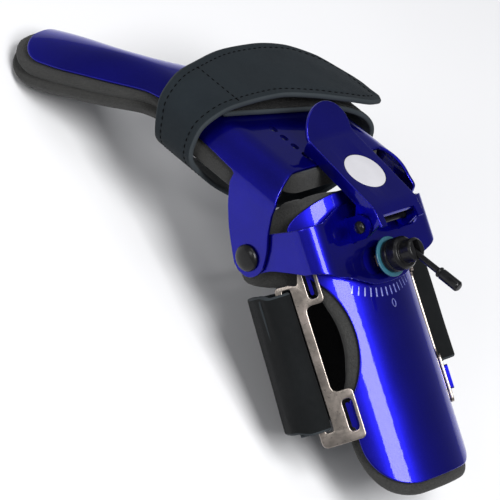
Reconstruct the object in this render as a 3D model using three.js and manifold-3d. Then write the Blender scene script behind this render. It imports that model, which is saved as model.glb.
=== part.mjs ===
// Rigid bowling wrist positioner for the right hand, in millimetres, +Z up.
// It is drawn in the forearm's frame: X to the little finger side, Y to the fingers, Z to the back of
// the hand, with the origin on the wrist rivets' axis. At the end it is laid on its strap and fingertip.
import * as THREE from 'three';
import * as BufferGeometryUtils from 'three/addons/utils/BufferGeometryUtils.js';
import Module from 'manifold-3d';

const wasm = await Module();
wasm.setup();

// Sheet, foam and cloth
const metal = 1.6;             // painted steel sheet
const foam = 6.4;              // one layer of foam
const webbing = 2.5;           // strap cloth with its backing
const gap = 0.3;               // room left between pieces that touch

// Forearm shell and its pad
const shellRadius = 43;        // outer radius across the forearm
const shellTop = 36.1;         // crown of the shell above the rivets
const shellRear = 118;         // elbow end behind the rivets
const shellCorner = 24;        // rounding of the elbow end's corners
const shellAngle = 50;         // half of the arc that the shell covers, degrees
const biteCentre = 46;         // middle of each side's cut, behind the rivets
const biteLength = 57;
const biteAngle = 17;          // depth of the cut as an angle round the shell
const tongueLength = 16;       // how far the shell's tongue passes the rivets
const tongueWidth = 66;
const padMargin = 5.2;         // foam that stands out past the metal's edge
const wingAngle = 103;         // half of the arc of the pad's wings at the wrist
const wingRear = 17;
const wingFront = 13;
const wingClear = 2.6;         // room between the pad's wings and the rivets' feet
const padFront = 16.4;

// Yoke
const yokeHalf = 42.4;         // outer half width over the arms
const yokeTop = shellTop + gap + metal;
const yokeCorner = 9.5;
const armRadius = 8.2;         // rounded end of each yoke arm
const yokeRearReach = 29;
const yokeFrontReach = 10;
const slotHalf = 16;           // half length of the lateral slot
const slotWidth = 12.4;
const tiltPivot = 6;           // the yoke swings about an upright axis here, ahead of the rivets

// Wrist rivets
const rivetHead = 12.4;
const rivetShank = 5;
const rivetDome = 3.2;
const rivetFoot = 9;
const rivetFootThick = 1;

// Hand plate
const handPitch = 41.5;        // degrees below the forearm
const plateHalf = yokeHalf + metal + gap;
const plateTop = 42;           // plate above the rivets' axis, in the hand's own frame
const plateCorner = 17;
const plateReach = 74;         // front edge of the plate ahead of the rivets
const plateCut = 3;            // rear edge of the plate between the arms
const handArmRadius = 8.8;
const holePitch = 7;
const holeLength = 4.6;
const holeWidth = 3.0;
const holeCount = 4;

// Index finger extension
const fingerWidth = 40;
const fingerWaist = 33;
const fingerRise = 10;        // arch of the extension across the finger
const fingerReach = 158;       // tip of the metal ahead of the rivets
const fingerDrop = 24;         // fall of the tip below the plate
const fingerSide = 34;         // tip's middle, to the thumb side
const fingerRoot = 24;         // root's middle, to the thumb side
const fingerPad = 11.5;        // two layers of foam
const tipMargin = 6.5;

// Hand pad
const handPad = 11;
const handPadRear = 0.9;       // rear edge of the pad ahead of the rivets
const handPadDepth = 20.5;       // the pad's sides reach this far below the plate

// Hand strap
const handStrap = 36;          // width
const palmDepth = 50;          // from the plate down to the palm side of the strap

// Lever
const leverHalf = 15;
const leverPitch = 33.4;
const pinForward = -2.1;
const pinHeight = 44.6;
const leverHeight = 11.3;      // lever's top above its pin
const leverReach = 44.8;       // head crease ahead of the pin
const headLength = 15;
const headBend = 40;
const tailLength = 8.7;
const tailBend = 25;
const leverWall = 5.8;         // height of the side walls
const notchHalf = 11;
const notchDepth = 4.2;
const hookReach = 43;
const hookLength = 4;
const hookClear = 0.4;         // the closed lever's hooks end this far above the plate
const labelRadius = 10.2;
const labelThick = 0.5;
const labelPlace = 20.6;

// Lever ears and pin
const earWidth = 11;
const pinRadius = 1.6;
const pinDome = 2.9;

// Lock knob
const lockBack = 18.5;         // stud behind the rivets
const studRadius = 2.6;
const nutRadius = 5;
const nutHeight = 4.6;
const washerRadius = 9.2;
const washerThick = 0.9;
const knobRadius = 7.6;
const knobHeight = 9;
const bossRadius = 5.3;
const bossHeight = 6.6;

// Key handle
const keyRise = 42;            // degrees above the forearm
const keyLength = 29;
const rodRadius = 1.5;
const gripRadius = 2.5;
const gripLength = 12.5;

// Scale engraved on the shell
const tickCount = 15;
const tickAngle = 4.3;
const tickLength = 4.2;
const tickWidth = 0.7;
const tickDepth = 0.35;

// Buckles and forearm strap
const buckleThick = 1.6;
const buckleRear = 91;          // rear end behind the rivets
const buckleFront = 15.5;
const railStart = 9;           // tabs from their tip to the rail
const rearTab = 23;
const frontTab = 20;
const tabFront = 8.5;          // the front tab reaches under the yoke
const railWidth = 4.4;
const strapSlot = 3.6;
const barWidth = 3.2;
const buckleAngleLeft = 50;    // slope of the left buckle, degrees below level
const buckleAngleRight = 48;
const frontMiddle = -tabFront - frontTab / 2;
const rearMiddle = -buckleRear + rearTab / 2;
const hookSlotStart = 1.9;
const hookSlotLength = 14.5;
const hookSlotWidth = 4.4;
const hookTab = 4.0;            // height of the shell's tabs through the buckles
const slotPlay = 1.0;            // the strap's slot is this much longer at each end
const forearmStrap = 63.5;
const strapCentre = 51.6;
const strapTaper = 11;         // the strap's right end is this much narrower
const strapLean = 2;           // its left side lies this much nearer the hand
const strapCone = 0.07;        // its front edge is drawn in by this share on the left
const strapBottom = 28.5;      // under side of the loop below the rivets' axis

const flattening = 0.8;        // the strap and the fingertip foam are flattened where they rest

// Materials
function finish(color, roughness, metalness) {
  return new THREE.MeshStandardMaterial({ color, roughness, metalness });
}
const bluePaint = finish(0x14146e, 0.25, 0.6);
const blackMetal = finish(0x0c0c0d, 0.3, 0.5);
const zinc = finish(0xb3a89c, 0.35, 0.9);
const yellowZinc = finish(0xb59a4a, 0.35, 0.9);
const blackCloth = finish(0x1d2123, 0.9, 0);
const handCloth = finish(0x2b3237, 0.85, 0);
const foamGrey = finish(0x3b3b39, 0.95, 0);
const labelWhite = finish(0xdedee2, 0.4, 0);
const washerBlue = finish(0x3f7f92, 0.4, 0.2);

const radians = THREE.MathUtils.degToRad;

// A smooth step from 0 to 1 between two places
function ease(from, to, at) {
  return THREE.MathUtils.smoothstep(at, from, to);
}

// Reads a column of a table at a place along its key column
function readTable(table, key, at, column) {
  if (at <= table[0][key]) return table[0][column];
  for (let row = 1; row < table.length; row++) {
    const before = table[row - 1];
    const after = table[row];
    if (at <= after[key]) {
      const share = (at - before[key]) / (after[key] - before[key]);
      return before[column] + (after[column] - before[column]) * share;
    }
  }
  return table[table.length - 1][column];
}

// Makes a solid from a geometry whose faces are closed
function solid(geometry) {
  let plain = geometry.clone();
  plain.deleteAttribute('normal');
  plain.deleteAttribute('uv');
  plain = BufferGeometryUtils.mergeVertices(plain, 1e-4);
  const made = new wasm.Mesh({
    numProp: 3,
    vertProperties: new Float32Array(plain.attributes.position.array),
    triVerts: new Uint32Array(plain.index.array),
  });
  return new wasm.Manifold(made);
}

function geometryOf(body) {
  const mesh = body.getMesh();
  const geometry = new THREE.BufferGeometry();
  const places = new Float32Array(mesh.numVert * 3);
  for (let v = 0; v < mesh.numVert; v++) {
    for (let k = 0; k < 3; k++) places[v * 3 + k] = mesh.vertProperties[v * mesh.numProp + k];
  }
  geometry.setAttribute('position', new THREE.BufferAttribute(places, 3));
  geometry.setIndex(new THREE.BufferAttribute(new Uint32Array(mesh.triVerts), 1));
  geometry.computeVertexNormals();
  return geometry;
}

// A closed body over a grid: point(i, j, side) gives a corner on the outer (0) or inner (1) face
function gridBody(columns, rows, point) {
  const places = [];
  const index = [];
  const id = (i, j, side) => (side * (rows + 1) + j) * (columns + 1) + i;
  for (let side = 0; side < 2; side++) {
    for (let j = 0; j <= rows; j++) {
      for (let i = 0; i <= columns; i++) {
        const at = point(i, j, side);
        places.push(at.x, at.y, at.z);
      }
    }
  }
  const quad = (a, b, c, d) => index.push(a, b, c, a, c, d);
  for (let j = 0; j < rows; j++) {
    for (let i = 0; i < columns; i++) {
      quad(id(i, j, 0), id(i + 1, j, 0), id(i + 1, j + 1, 0), id(i, j + 1, 0));
      quad(id(i, j, 1), id(i, j + 1, 1), id(i + 1, j + 1, 1), id(i + 1, j, 1));
    }
  }
  for (let i = 0; i < columns; i++) {
    quad(id(i, 0, 0), id(i, 0, 1), id(i + 1, 0, 1), id(i + 1, 0, 0));
    quad(id(i, rows, 0), id(i + 1, rows, 0), id(i + 1, rows, 1), id(i, rows, 1));
  }
  for (let j = 0; j < rows; j++) {
    quad(id(0, j, 0), id(0, j + 1, 0), id(0, j + 1, 1), id(0, j, 1));
    quad(id(columns, j, 0), id(columns, j, 1), id(columns, j + 1, 1), id(columns, j + 1, 0));
  }
  const geometry = new THREE.BufferGeometry();
  geometry.setAttribute('position', new THREE.Float32BufferAttribute(places, 3));
  geometry.setIndex(index);
  return faceOutward(geometry);
}

// Turns the triangles over if the body's faces point in
function faceOutward(geometry) {
  const at = geometry.attributes.position;
  const index = geometry.index.array;
  const a = new THREE.Vector3();
  const b = new THREE.Vector3();
  const c = new THREE.Vector3();
  let volume = 0;
  for (let t = 0; t < index.length; t += 3) {
    a.fromBufferAttribute(at, index[t]);
    b.fromBufferAttribute(at, index[t + 1]);
    c.fromBufferAttribute(at, index[t + 2]);
    volume += a.dot(b.cross(c));
  }
  if (volume < 0) {
    for (let t = 0; t < index.length; t += 3) {
      [index[t + 1], index[t + 2]] = [index[t + 2], index[t + 1]];
    }
  }
  return geometry;
}

// A closed path's offsets: points with outward normals from a list of {x, z}
function withNormals(points, outwardSign) {
  return points.map((p, i) => {
    const before = points[Math.max(i - 1, 0)];
    const after = points[Math.min(i + 1, points.length - 1)];
    const along = new THREE.Vector2(after.x - before.x, after.z - before.z).normalize();
    return { ...p, nx: -along.y * outwardSign, nz: along.x * outwardSign };
  });
}

// A sheet that follows a section in X and Z, and runs in Y from rear to front at each station
function band(stations, thickness, rows) {
  return gridBody(stations.length - 1, rows, (i, j, side) => {
    const s = stations[i];
    const y = s.rear + (s.front - s.rear) * (j / rows);
    const depth = side * thickness;
    return new THREE.Vector3(s.x - s.nx * depth, y, s.z - s.nz * depth);
  });
}

// A section like an upturned U, from the foot of the left arm over the top to the foot of the right arm
function archSection(half, top, corner, foot, wallSteps, cornerSteps, topSteps) {
  const points = [];
  for (let i = 0; i < wallSteps; i++) {
    points.push({ x: -half, z: foot + (top - corner - foot) * (i / wallSteps) });
  }
  for (let i = 0; i <= cornerSteps; i++) {
    const turn = (Math.PI / 2) * (i / cornerSteps);
    points.push({
      x: -half + corner - corner * Math.cos(turn),
      z: top - corner + corner * Math.sin(turn),
    });
  }
  for (let i = 1; i <= topSteps / 2; i++) {
    points.push({ x: (-half + corner) * (1 - i / (topSteps / 2)), z: top });
  }
  const mirrored = points.slice(0, -1).reverse().map((p) => ({ x: -p.x, z: p.z }));
  return points.concat(mirrored);
}

function cylinderAt(radius, height, sides, x, y, z, axis) {
  const geometry = new THREE.CylinderGeometry(radius, radius, height, sides);
  if (axis === 'x') geometry.rotateZ(Math.PI / 2);
  if (axis === 'z') geometry.rotateX(Math.PI / 2);
  geometry.translate(x, y, z);
  return solid(geometry);
}

function boxAt(width, depth, height, x, y, z) {
  return solid(new THREE.BoxGeometry(width, depth, height).translate(x, y, z));
}

// An upright prism with round ends, along x or y
function slotPrism(length, width, height, x, y, z, alongY) {
  const shape = new THREE.Shape();
  const straight = (length - width) / 2;
  shape.absarc(straight, 0, width / 2, -Math.PI / 2, Math.PI / 2, false);
  shape.absarc(-straight, 0, width / 2, Math.PI / 2, Math.PI * 1.5, false);
  const geometry = new THREE.ExtrudeGeometry(shape, { depth: height, bevelEnabled: false, curveSegments: 5 });
  geometry.translate(0, 0, -height / 2);
  if (alongY) geometry.rotateZ(Math.PI / 2);
  geometry.translate(x, y, z);
  return solid(geometry);
}

// Forearm shell

function shellHalfAngle(y, margin) {
  const arcToAngle = 180 / (Math.PI * shellRadius);
  let angle = shellAngle + margin * arcToAngle;
  const rear = -(shellRear + margin);
  const corner = shellCorner + margin;
  const cornerAngle = corner * arcToAngle;
  if (y < rear + corner) {
    const t = (rear + corner - y) / corner;
    angle -= cornerAngle * (1 - Math.sqrt(Math.max(0, 1 - t * t)));
  }
  const biteHalf = biteLength / 2 - margin * 0.4;
  const off = (y + biteCentre) / biteHalf;
  if (Math.abs(off) < 1) angle -= (biteAngle - margin * 0.2) * (1 - off * off) ** 0.8;
  return angle;
}

function tongueHalfAngle(y) {
  const t = Math.min(Math.max(y, 0) / tongueLength, 1);
  const half = (tongueWidth / 2) * (1 - t ** 2.4) ** 0.6 + 9 * t;
  return THREE.MathUtils.radToDeg(Math.asin(Math.min(half / shellRadius, 1)));
}

function shellPoint(angle, y, depth) {
  const turn = radians(angle);
  const reach = shellRadius - depth;
  return new THREE.Vector3(reach * Math.sin(turn), y, shellTop - shellRadius + reach * Math.cos(turn));
}

function rowPlaces(rear, front, corner, step) {
  const rows = [];
  for (let k = 0; k <= 5; k++) rows.push(rear + corner * (1 - Math.cos((Math.PI / 2) * (k / 5))));
  const count = Math.round((front - rear - corner) / step);
  for (let k = 1; k <= count; k++) rows.push(rear + corner + (front - rear - corner) * (k / count));
  return rows;
}

const tongueShares = [0.35, 0.6, 0.76, 0.87, 0.94, 0.98, 1];
const shellRows = rowPlaces(-shellRear, 0, shellCorner, 7.5).concat(tongueShares.map((t) => t * tongueLength));
const shellColumns = 12;
let shell = solid(gridBody(shellColumns, shellRows.length - 1, (i, j, side) => {
  const y = shellRows[j];
  const half = y > 0 ? tongueHalfAngle(y) : Math.min(shellHalfAngle(y, 0), shellAngle);
  const blend = ease(-14, 0, y);
  const reach = y > 0 ? half : half + (tongueHalfAngle(0) - half) * blend;
  return shellPoint(reach * ((2 * i) / shellColumns - 1), y, side * metal);
}));

// Ticks of the lateral scale, and its zero, engraved round the tilt pivot
const tickRing = yokeRearReach + tiltPivot + 1.6 + tickLength / 2;
for (let k = 0; k < tickCount; k++) {
  const turn = radians((k - (tickCount - 1) / 2) * tickAngle);
  const x = tickRing * Math.sin(turn);
  const y = tiltPivot - tickRing * Math.cos(turn);
  const surface = shellTop - shellRadius + Math.sqrt(shellRadius ** 2 - x ** 2);
  const tick = new THREE.BoxGeometry(tickWidth, tickLength, 2 * tickDepth);
  tick.rotateY(Math.asin(x / shellRadius));
  tick.rotateZ(turn);
  shell = shell.subtract(solid(tick.translate(x, y, surface)));
}

// Stud hole
shell = shell.subtract(cylinderAt(studRadius + gap, 12, 20, 0, -lockBack, shellTop, 'z'));

// Buckle frames: t runs down the slope from the tab's tip, n out of the shell
function buckleFrame(side) {
  const slope = radians(side < 0 ? buckleAngleLeft : buckleAngleRight);
  const down = new THREE.Vector3(side * Math.cos(slope), 0, -Math.sin(slope));
  const out = new THREE.Vector3(side * Math.sin(slope), 0, Math.cos(slope));
  const seat = shellPoint(side * (shellAngle - 3.5), 0, -gap);
  const origin = seat.clone().addScaledVector(down, -1.5);
  return { side, down, out, origin };
}

function inFrame(frame, t, n) {
  return frame.origin.clone().addScaledVector(frame.down, t).addScaledVector(frame.out, n);
}

// Lays a geometry drawn in (t, y, n) into the buckle's frame
function layInFrame(geometry, frame) {
  const across = new THREE.Vector3(0, 1, 0);
  const basis = new THREE.Matrix4().makeBasis(frame.down, across, frame.out);
  basis.setPosition(frame.origin);
  geometry.applyMatrix4(basis);
  return basis.determinant() < 0 ? faceOutward(BufferGeometryUtils.mergeVertices(stripped(geometry), 1e-4)) : geometry;
}

function stripped(geometry) {
  const plain = geometry.clone();
  plain.deleteAttribute('normal');
  plain.deleteAttribute('uv');
  return plain;
}

function rectangle(t0, t1, y0, y1, r) {
  return [{ t: t0, y: y0, r }, { t: t1, y: y0, r }, { t: t1, y: y1, r }, { t: t0, y: y1, r }];
}

// Draws a closed outline with rounded corners
function roundedOutline(path, corners) {
  const count = corners.length;
  const at = (k) => new THREE.Vector2(corners[(k + count) % count].t, corners[(k + count) % count].y);
  for (let k = 0; k < count; k++) {
    const here = at(k);
    const back = at(k - 1).sub(here);
    const on = at(k + 1).sub(here);
    const half = Math.abs(Math.atan2(back.cross(on), back.dot(on))) / 2;
    const cut = corners[k].r / Math.tan(half);
    const from = here.clone().addScaledVector(back.normalize(), cut);
    const to = here.clone().addScaledVector(on.normalize(), cut);
    if (k === 0) path.moveTo(from.x, from.y);
    else path.lineTo(from.x, from.y);
    path.quadraticCurveTo(here.x, here.y, to.x, to.y);
  }
  path.closePath();
  return path;
}

const railEnd = railStart + railWidth;
const barStart = railEnd + strapSlot;
const barEnd = barStart + barWidth;
const slotFront = strapCentre - forearmStrap / 2 - slotPlay;
const slotRear = strapCentre + forearmStrap / 2 + slotPlay;

function buckleSolid(frame) {
  const outline = roundedOutline(new THREE.Shape(), [
    { t: 0, y: -buckleRear, r: 2.5 },
    { t: barEnd, y: -buckleRear, r: 3.2 },
    { t: barEnd, y: -buckleFront - 1.1, r: 2.4 },
    { t: railEnd, y: -buckleFront - 1.5, r: 1 },
    { t: railStart + 0.8, y: -buckleFront - 2.9, r: 1.4 },
    { t: railStart - 2.4, y: -tabFront, r: 2 },
    { t: 0, y: -tabFront, r: 2.5 },
    { t: 0, y: -tabFront - frontTab, r: 2.5 },
    { t: railStart, y: -tabFront - frontTab, r: 3.2 },
    { t: railStart, y: -buckleRear + rearTab, r: 3.2 },
    { t: 0, y: -buckleRear + rearTab, r: 2.5 },
  ]);
  for (const middle of [frontMiddle, rearMiddle]) {
    outline.holes.push(roundedOutline(new THREE.Path(), rectangle(hookSlotStart,
      hookSlotStart + hookSlotWidth, middle - hookSlotLength / 2, middle + hookSlotLength / 2, 2)));
  }
  outline.holes.push(roundedOutline(new THREE.Path(),
    rectangle(railEnd, barStart, -slotRear, -slotFront, 0.6)));
  const geometry = new THREE.ExtrudeGeometry(outline, {
    depth: buckleThick, bevelEnabled: false, curveSegments: 3,
  });
  return layInFrame(geometry, frame);
}

const leftFrame = buckleFrame(-1);
const rightFrame = buckleFrame(1);

// Blue tabs of the shell stand out through the buckles' slots
for (const frame of [leftFrame, rightFrame]) {
  for (const middle of [frontMiddle, rearMiddle]) {
    const tab = new THREE.BoxGeometry(metal, hookSlotLength - 3, hookTab + metal);
    tab.translate(hookSlotStart + hookSlotWidth / 2, middle, (hookTab - metal) / 2 - 0.6);
    shell = shell.add(solid(layInFrame(tab, frame)));
  }
}

// Forearm pad, under the shell, with wings at the wrist and a pocket for the stud's foot

const padDepth = metal + gap;
const wingRadius = yokeHalf - metal - gap - rivetFootThick - wingClear;
const wingInset = shellRadius - padDepth - wingRadius;
const padRows = rowPlaces(-(shellRear + padMargin), -20, shellCorner + padMargin, 7)
  .concat([-18, -15.5, -13, -10.5, -8, -1, 7, 9.5, 12, 13.7, 15.1, padFront]);
const padColumns = 14;

function padHalfAngle(y) {
  const base = shellHalfAngle(y, padMargin);
  const wing = Math.min(ease(-wingRear - 4, -wingRear + 9, y), 1 - ease(wingFront - 6, padFront, y));
  return base + (wingAngle - base) * wing;
}

const footHeight = 1.2;
const footBottom = shellTop - metal - gap - 0.5 - footHeight;
let pad = solid(gridBody(padColumns, padRows.length - 1, (i, j, side) => {
  const y = padRows[j];
  const share = (2 * i) / padColumns - 1;
  const angle = padHalfAngle(y) * share;
  const inset = wingInset * ease(shellAngle - 8, shellAngle + 10, Math.abs(angle));
  return shellPoint(angle, y, padDepth + inset + side * foam);
}));
pad = pad.subtract(cylinderAt(nutRadius + gap, 6, 20, 0, -lockBack, footBottom - gap + 3, 'z'));

// Yoke

const yokeTable = [
  { rise: -1.0, rear: 0.1, front: 0.1 },
  { rise: -0.85, rear: 0.55, front: 0.55 },
  { rise: -0.5, rear: 0.87, front: 0.87 },
  { rise: 0, rear: 1.0, front: 1.0 },
  { rise: 1.0, rear: 1.08, front: 0.95 },
  { rise: 2.2, rear: 1.42, front: 0.8 },
  { rise: 3.3, rear: 1.85, front: 0.62 },
];
const yokeCrown = [
  { across: 0, rear: 1.0, front: 1.0 },
  { across: 0.22, rear: 0.975, front: 1.0 },
  { across: 0.4, rear: 0.87, front: 0.97 },
  { across: 0.58, rear: 0.76, front: 0.72 },
  { across: 0.76, rear: 0.68, front: 0.46 },
  { across: 1.0, rear: 0.52, front: 0.5 },
];

function yokeStations() {
  const section = archSection(yokeHalf, yokeTop, yokeCorner, -armRadius, 8, 4, 12);
  return withNormals(section, 1).map((p) => {
    const wall = p.z < yokeTop - yokeCorner - 0.01;
    if (wall) {
      const rise = p.z / armRadius;
      return {
        ...p,
        rear: -armRadius * readTable(yokeTable, 'rise', rise, 'rear'),
        front: armRadius * readTable(yokeTable, 'rise', rise, 'front'),
      };
    }
    const across = Math.abs(p.x) / yokeHalf;
    return {
      ...p,
      rear: -yokeRearReach * readTable(yokeCrown, 'across', across, 'rear'),
      front: yokeFrontReach * readTable(yokeCrown, 'across', across, 'front'),
    };
  });
}

let yoke = solid(band(yokeStations(), metal, 1));
yoke = yoke.subtract(slotPrism(slotHalf * 2, slotWidth, 8, 2, -lockBack + 0.4, yokeTop, false));
for (const side of [-1, 1]) {
  yoke = yoke.subtract(cylinderAt(rivetShank / 2 + gap, 8, 16, side * (yokeHalf - metal / 2), 0, 0, 'x'));
}

// Ears bent up from the yoke on both sides of the lever
const earInner = leverHalf + gap;
for (const side of [-1, 1]) {
  const shape = new THREE.Shape();
  const half = earWidth / 2;
  shape.moveTo(-half, yokeTop - 0.8);
  shape.lineTo(half, yokeTop - 0.8);
  shape.lineTo(half, pinHeight);
  shape.absarc(0, pinHeight, half, 0, Math.PI, false);
  const geometry = new THREE.ExtrudeGeometry(shape, { depth: metal, bevelEnabled: false, curveSegments: 8 });
  geometry.rotateX(Math.PI / 2);
  geometry.rotateZ(Math.PI / 2);
  geometry.translate(side > 0 ? earInner : -earInner - metal, pinForward, 0);
  yoke = yoke.add(solid(geometry));
}
yoke = yoke.subtract(cylinderAt(pinRadius + gap, 60, 14, 0, pinForward, pinHeight, 'x'));

// Lever pin with domed heads
function domedPin(radius, head, dome, inner, outerFace, y, z) {
  const profile = [new THREE.Vector2(0, -outerFace - dome)];
  const steps = 3;
  for (let k = 1; k <= steps; k++) {
    const turn = (Math.PI / 2) * (k / steps);
    profile.push(new THREE.Vector2(head * Math.sin(turn), -outerFace - dome * Math.cos(turn)));
  }
  profile.push(new THREE.Vector2(radius, -outerFace));
  profile.push(new THREE.Vector2(radius, inner));
  profile.push(new THREE.Vector2(0, inner));
  const geometry = new THREE.LatheGeometry(profile, 12);
  geometry.rotateZ(-Math.PI / 2);
  geometry.translate(0, y, z);
  return geometry;
}

const earFace = earInner + metal + gap;
const pinLeft = solid(domedPin(pinRadius, pinDome, 1.8, 0.2, earFace, pinForward, pinHeight));
const leverPin = pinLeft.add(pinLeft.mirror([1, 0, 0]));

// Wrist rivets: dome outside the hand's arm, shank through both arms, foot inside the yoke's arm
function wristRivet(side) {
  const outer = plateHalf + gap;
  const inner = yokeHalf - metal - gap;
  const profile = [new THREE.Vector2(0, outer + rivetDome)];
  const steps = 5;
  for (let k = 1; k <= steps; k++) {
    const turn = (Math.PI / 2) * (k / steps);
    profile.push(new THREE.Vector2((rivetHead / 2) * Math.sin(turn), outer + rivetDome * Math.cos(turn)));
  }
  profile.push(new THREE.Vector2(rivetShank / 2, outer));
  profile.push(new THREE.Vector2(rivetShank / 2, inner));
  profile.push(new THREE.Vector2(rivetFoot / 2, inner));
  profile.push(new THREE.Vector2(rivetFoot / 2, inner - rivetFootThick));
  profile.push(new THREE.Vector2(0, inner - rivetFootThick));
  const geometry = new THREE.LatheGeometry(profile.reverse(), 18);
  geometry.rotateZ(side > 0 ? -Math.PI / 2 : Math.PI / 2);
  return geometry;
}

// Hand plate, in the hand's frame: Y along the plate, Z out of the back of the hand

const plateTable = [
  { rise: -1.0, left: 0.1, right: 0.1, front: 0.1 },
  { rise: -0.8, left: 0.6, right: 0.6, front: 0.6 },
  { rise: -0.4, left: 0.92, right: 0.92, front: 0.95 },
  { rise: 0.0, left: 1.05, right: 1.05, front: 1.25 },
  { rise: 0.9, left: 0.94, right: 1.15, front: 1.85 },
  { rise: 1.9, left: 0.6, right: 1.42, front: 2.35 },
  { rise: 2.9, left: 0.38, right: 1.6, front: 2.7 },
];
const plateEdgeTurn = 27;      // the arm ends, and the plate's long edge starts, this far round the corner
const plateFrontRight = [
  { across: 0, front: 0.97 },
  { across: 0.35, front: 0.93 },
  { across: 0.7, front: 0.8 },
  { across: 1.0, front: 0.6 },
];

function plateStations() {
  const section = archSection(plateHalf, plateTop, plateCorner, -handArmRadius, 8, 8, 4);
  const cornerStart = plateTop - plateCorner;
  return withNormals(section, 1).map((p) => {
    const cornerShare = Math.min(Math.max((p.z - cornerStart) / plateCorner, 0), 1);
    const turn = THREE.MathUtils.radToDeg(Math.asin(cornerShare));
    if (p.z < cornerStart - 0.01 || turn < plateEdgeTurn - 10) {
      const rise = p.z / handArmRadius;
      return {
        ...p,
        rear: -handArmRadius * readTable(plateTable, 'rise', rise, p.x < 0 ? 'left' : 'right'),
        front: handArmRadius * readTable(plateTable, 'rise', rise, 'front'),
      };
    }
    const armRear = -handArmRadius * (p.x < 0 ? 0.3 : 1.25);
    const rear = THREE.MathUtils.lerp(armRear, plateCut, Math.min((turn - 18) / 60, 1));
    const across = Math.abs(p.x) / plateHalf;
    let front = plateReach;
    if (p.x > 0) front = plateReach * readTable(plateFrontRight, 'across', across, 'front');
    if (turn < plateEdgeTurn) front = handArmRadius * 3.6;
    return { ...p, rear, front };
  });
}

let plate = solid(band(plateStations(), metal, 1));

// Middle of the finger extension's outer face, in the hand's frame
const fingerStart = plateReach - 3;

function fingerMiddle(share) {
  const y = fingerStart + (fingerReach - fingerStart) * share;
  const bend = Math.max(0, y - (plateReach - 4)) / (fingerReach - (plateReach - 4));
  const fall = fingerDrop * (0.4 * bend + 0.6 * bend * bend) * ease(-0.1, 0.12, bend);
  const x = -fingerSide + (fingerSide - fingerRoot) * (1 - ease(0, 0.7, share));
  return new THREE.Vector3(x, y, plateTop - fall);
}

function plateSurface(x) {
  const past = Math.min(Math.max(Math.abs(x) - (plateHalf - plateCorner), 0), plateCorner);
  return plateTop - plateCorner + Math.sqrt(plateCorner ** 2 - past ** 2);
}

// The outer face starts as the plate's own form and becomes an arch of its own
function fingerSurface(share, offset) {
  const at = fingerMiddle(share);
  const reach = fingerWidth / 2;
  const fall = plateTop - at.z;
  const arched = at.z - fingerRise * (offset / reach) ** 2;
  at.x += offset;
  const rooted = plateSurface(at.x) - fall;
  at.z = THREE.MathUtils.lerp(rooted, arched, ease(0.0, 0.6, share));
  return at;
}

function fingerHalf(share, margin) {
  const tipLength = fingerWidth / 2 + margin;
  const total = fingerReach + margin - fingerStart;
  const toTip = total * (1 - share);
  let half = THREE.MathUtils.lerp(fingerWaist, fingerWidth, ease(0.12, 0.7, share)) / 2;
  half += margin * 0.5 * ease(0, 0.45, share);
  half += 1.2 * (1 - ease(0.0, 0.2, share));
  if (toTip < tipLength) {
    const t = 1 - toTip / tipLength;
    half *= Math.sqrt(Math.max(1 - t ** 2.3, 0)) * 0.84 + 0.16;
  }
  return half;
}

function fingerBody(margin, depth, thickness) {
  const stretch = (fingerReach + margin - fingerStart) / (fingerReach - fingerStart);
  const rows = [margin > 0 ? -0.03 : 0, 0.06, 0.12, 0.19, 0.27, 0.35, 0.45, 0.57, 0.69, 0.79];
  for (const late of [0.3, 0.55, 0.73, 0.86, 0.94, 0.98, 1]) rows.push(0.79 + (stretch - 0.79) * late);
  const columns = 6;
  const small = 0.004;
  return gridBody(columns, rows.length - 1, (i, j, side) => {
    const share = rows[j];
    const offset = fingerHalf(share / stretch, margin) * ((2 * i) / columns - 1);
    const top = fingerSurface(share, offset);
    const along = fingerSurface(share + small, offset).sub(top);
    const across = fingerSurface(share, offset + small).sub(top);
    const normal = across.cross(along).normalize();
    top.addScaledVector(normal, -depth);
    if (margin > 0) normal.x = 0;
    return top.addScaledVector(normal.normalize(), -side * thickness);
  });
}

plate = plate.add(solid(fingerBody(0, 0, metal)));

// Adjusting holes in two rows, one under each side wall of the lever
const holeRow = leverHalf - metal / 2;
const firstHole = 10.7;
for (const side of [-1, 1]) {
  for (let k = 0; k < holeCount; k++) {
    plate = plate.subtract(slotPrism(holeLength, holeWidth, 8,
      side * holeRow, firstHole + k * holePitch, plateTop, true));
  }
  plate = plate.subtract(cylinderAt(rivetShank / 2 + gap, 8, 16, side * (plateHalf - metal / 2), 0, 0, 'x'));
}

// Hand pad under the plate and the extension, hollow for the back of the hand
function padStations() {
  const under = metal + gap;
  const top = plateTop - under;
  const foot = plateTop - handPadDepth;
  const section = archSection(plateHalf - under, top, plateCorner - under, foot, 2, 8, 4);
  return withNormals(section, 1).map((p) => {
    const low = ease(plateHalf * 0.5, plateHalf * 0.95, Math.abs(p.x));
    const rear = THREE.MathUtils.lerp(handPadRear, handPadRear + 9, low);
    const across = Math.abs(p.x) / plateHalf;
    let front = fingerStart - 0.6;
    if (p.x > 0) front = plateReach * readTable(plateFrontRight, 'across', across, 'front') + 2.5;
    return { ...p, rear, front };
  });
}

let handFoam = solid(band(padStations(), handPad, 1));
handFoam = handFoam.add(solid(fingerBody(tipMargin, metal + 4 * gap, fingerPad)));

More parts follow.
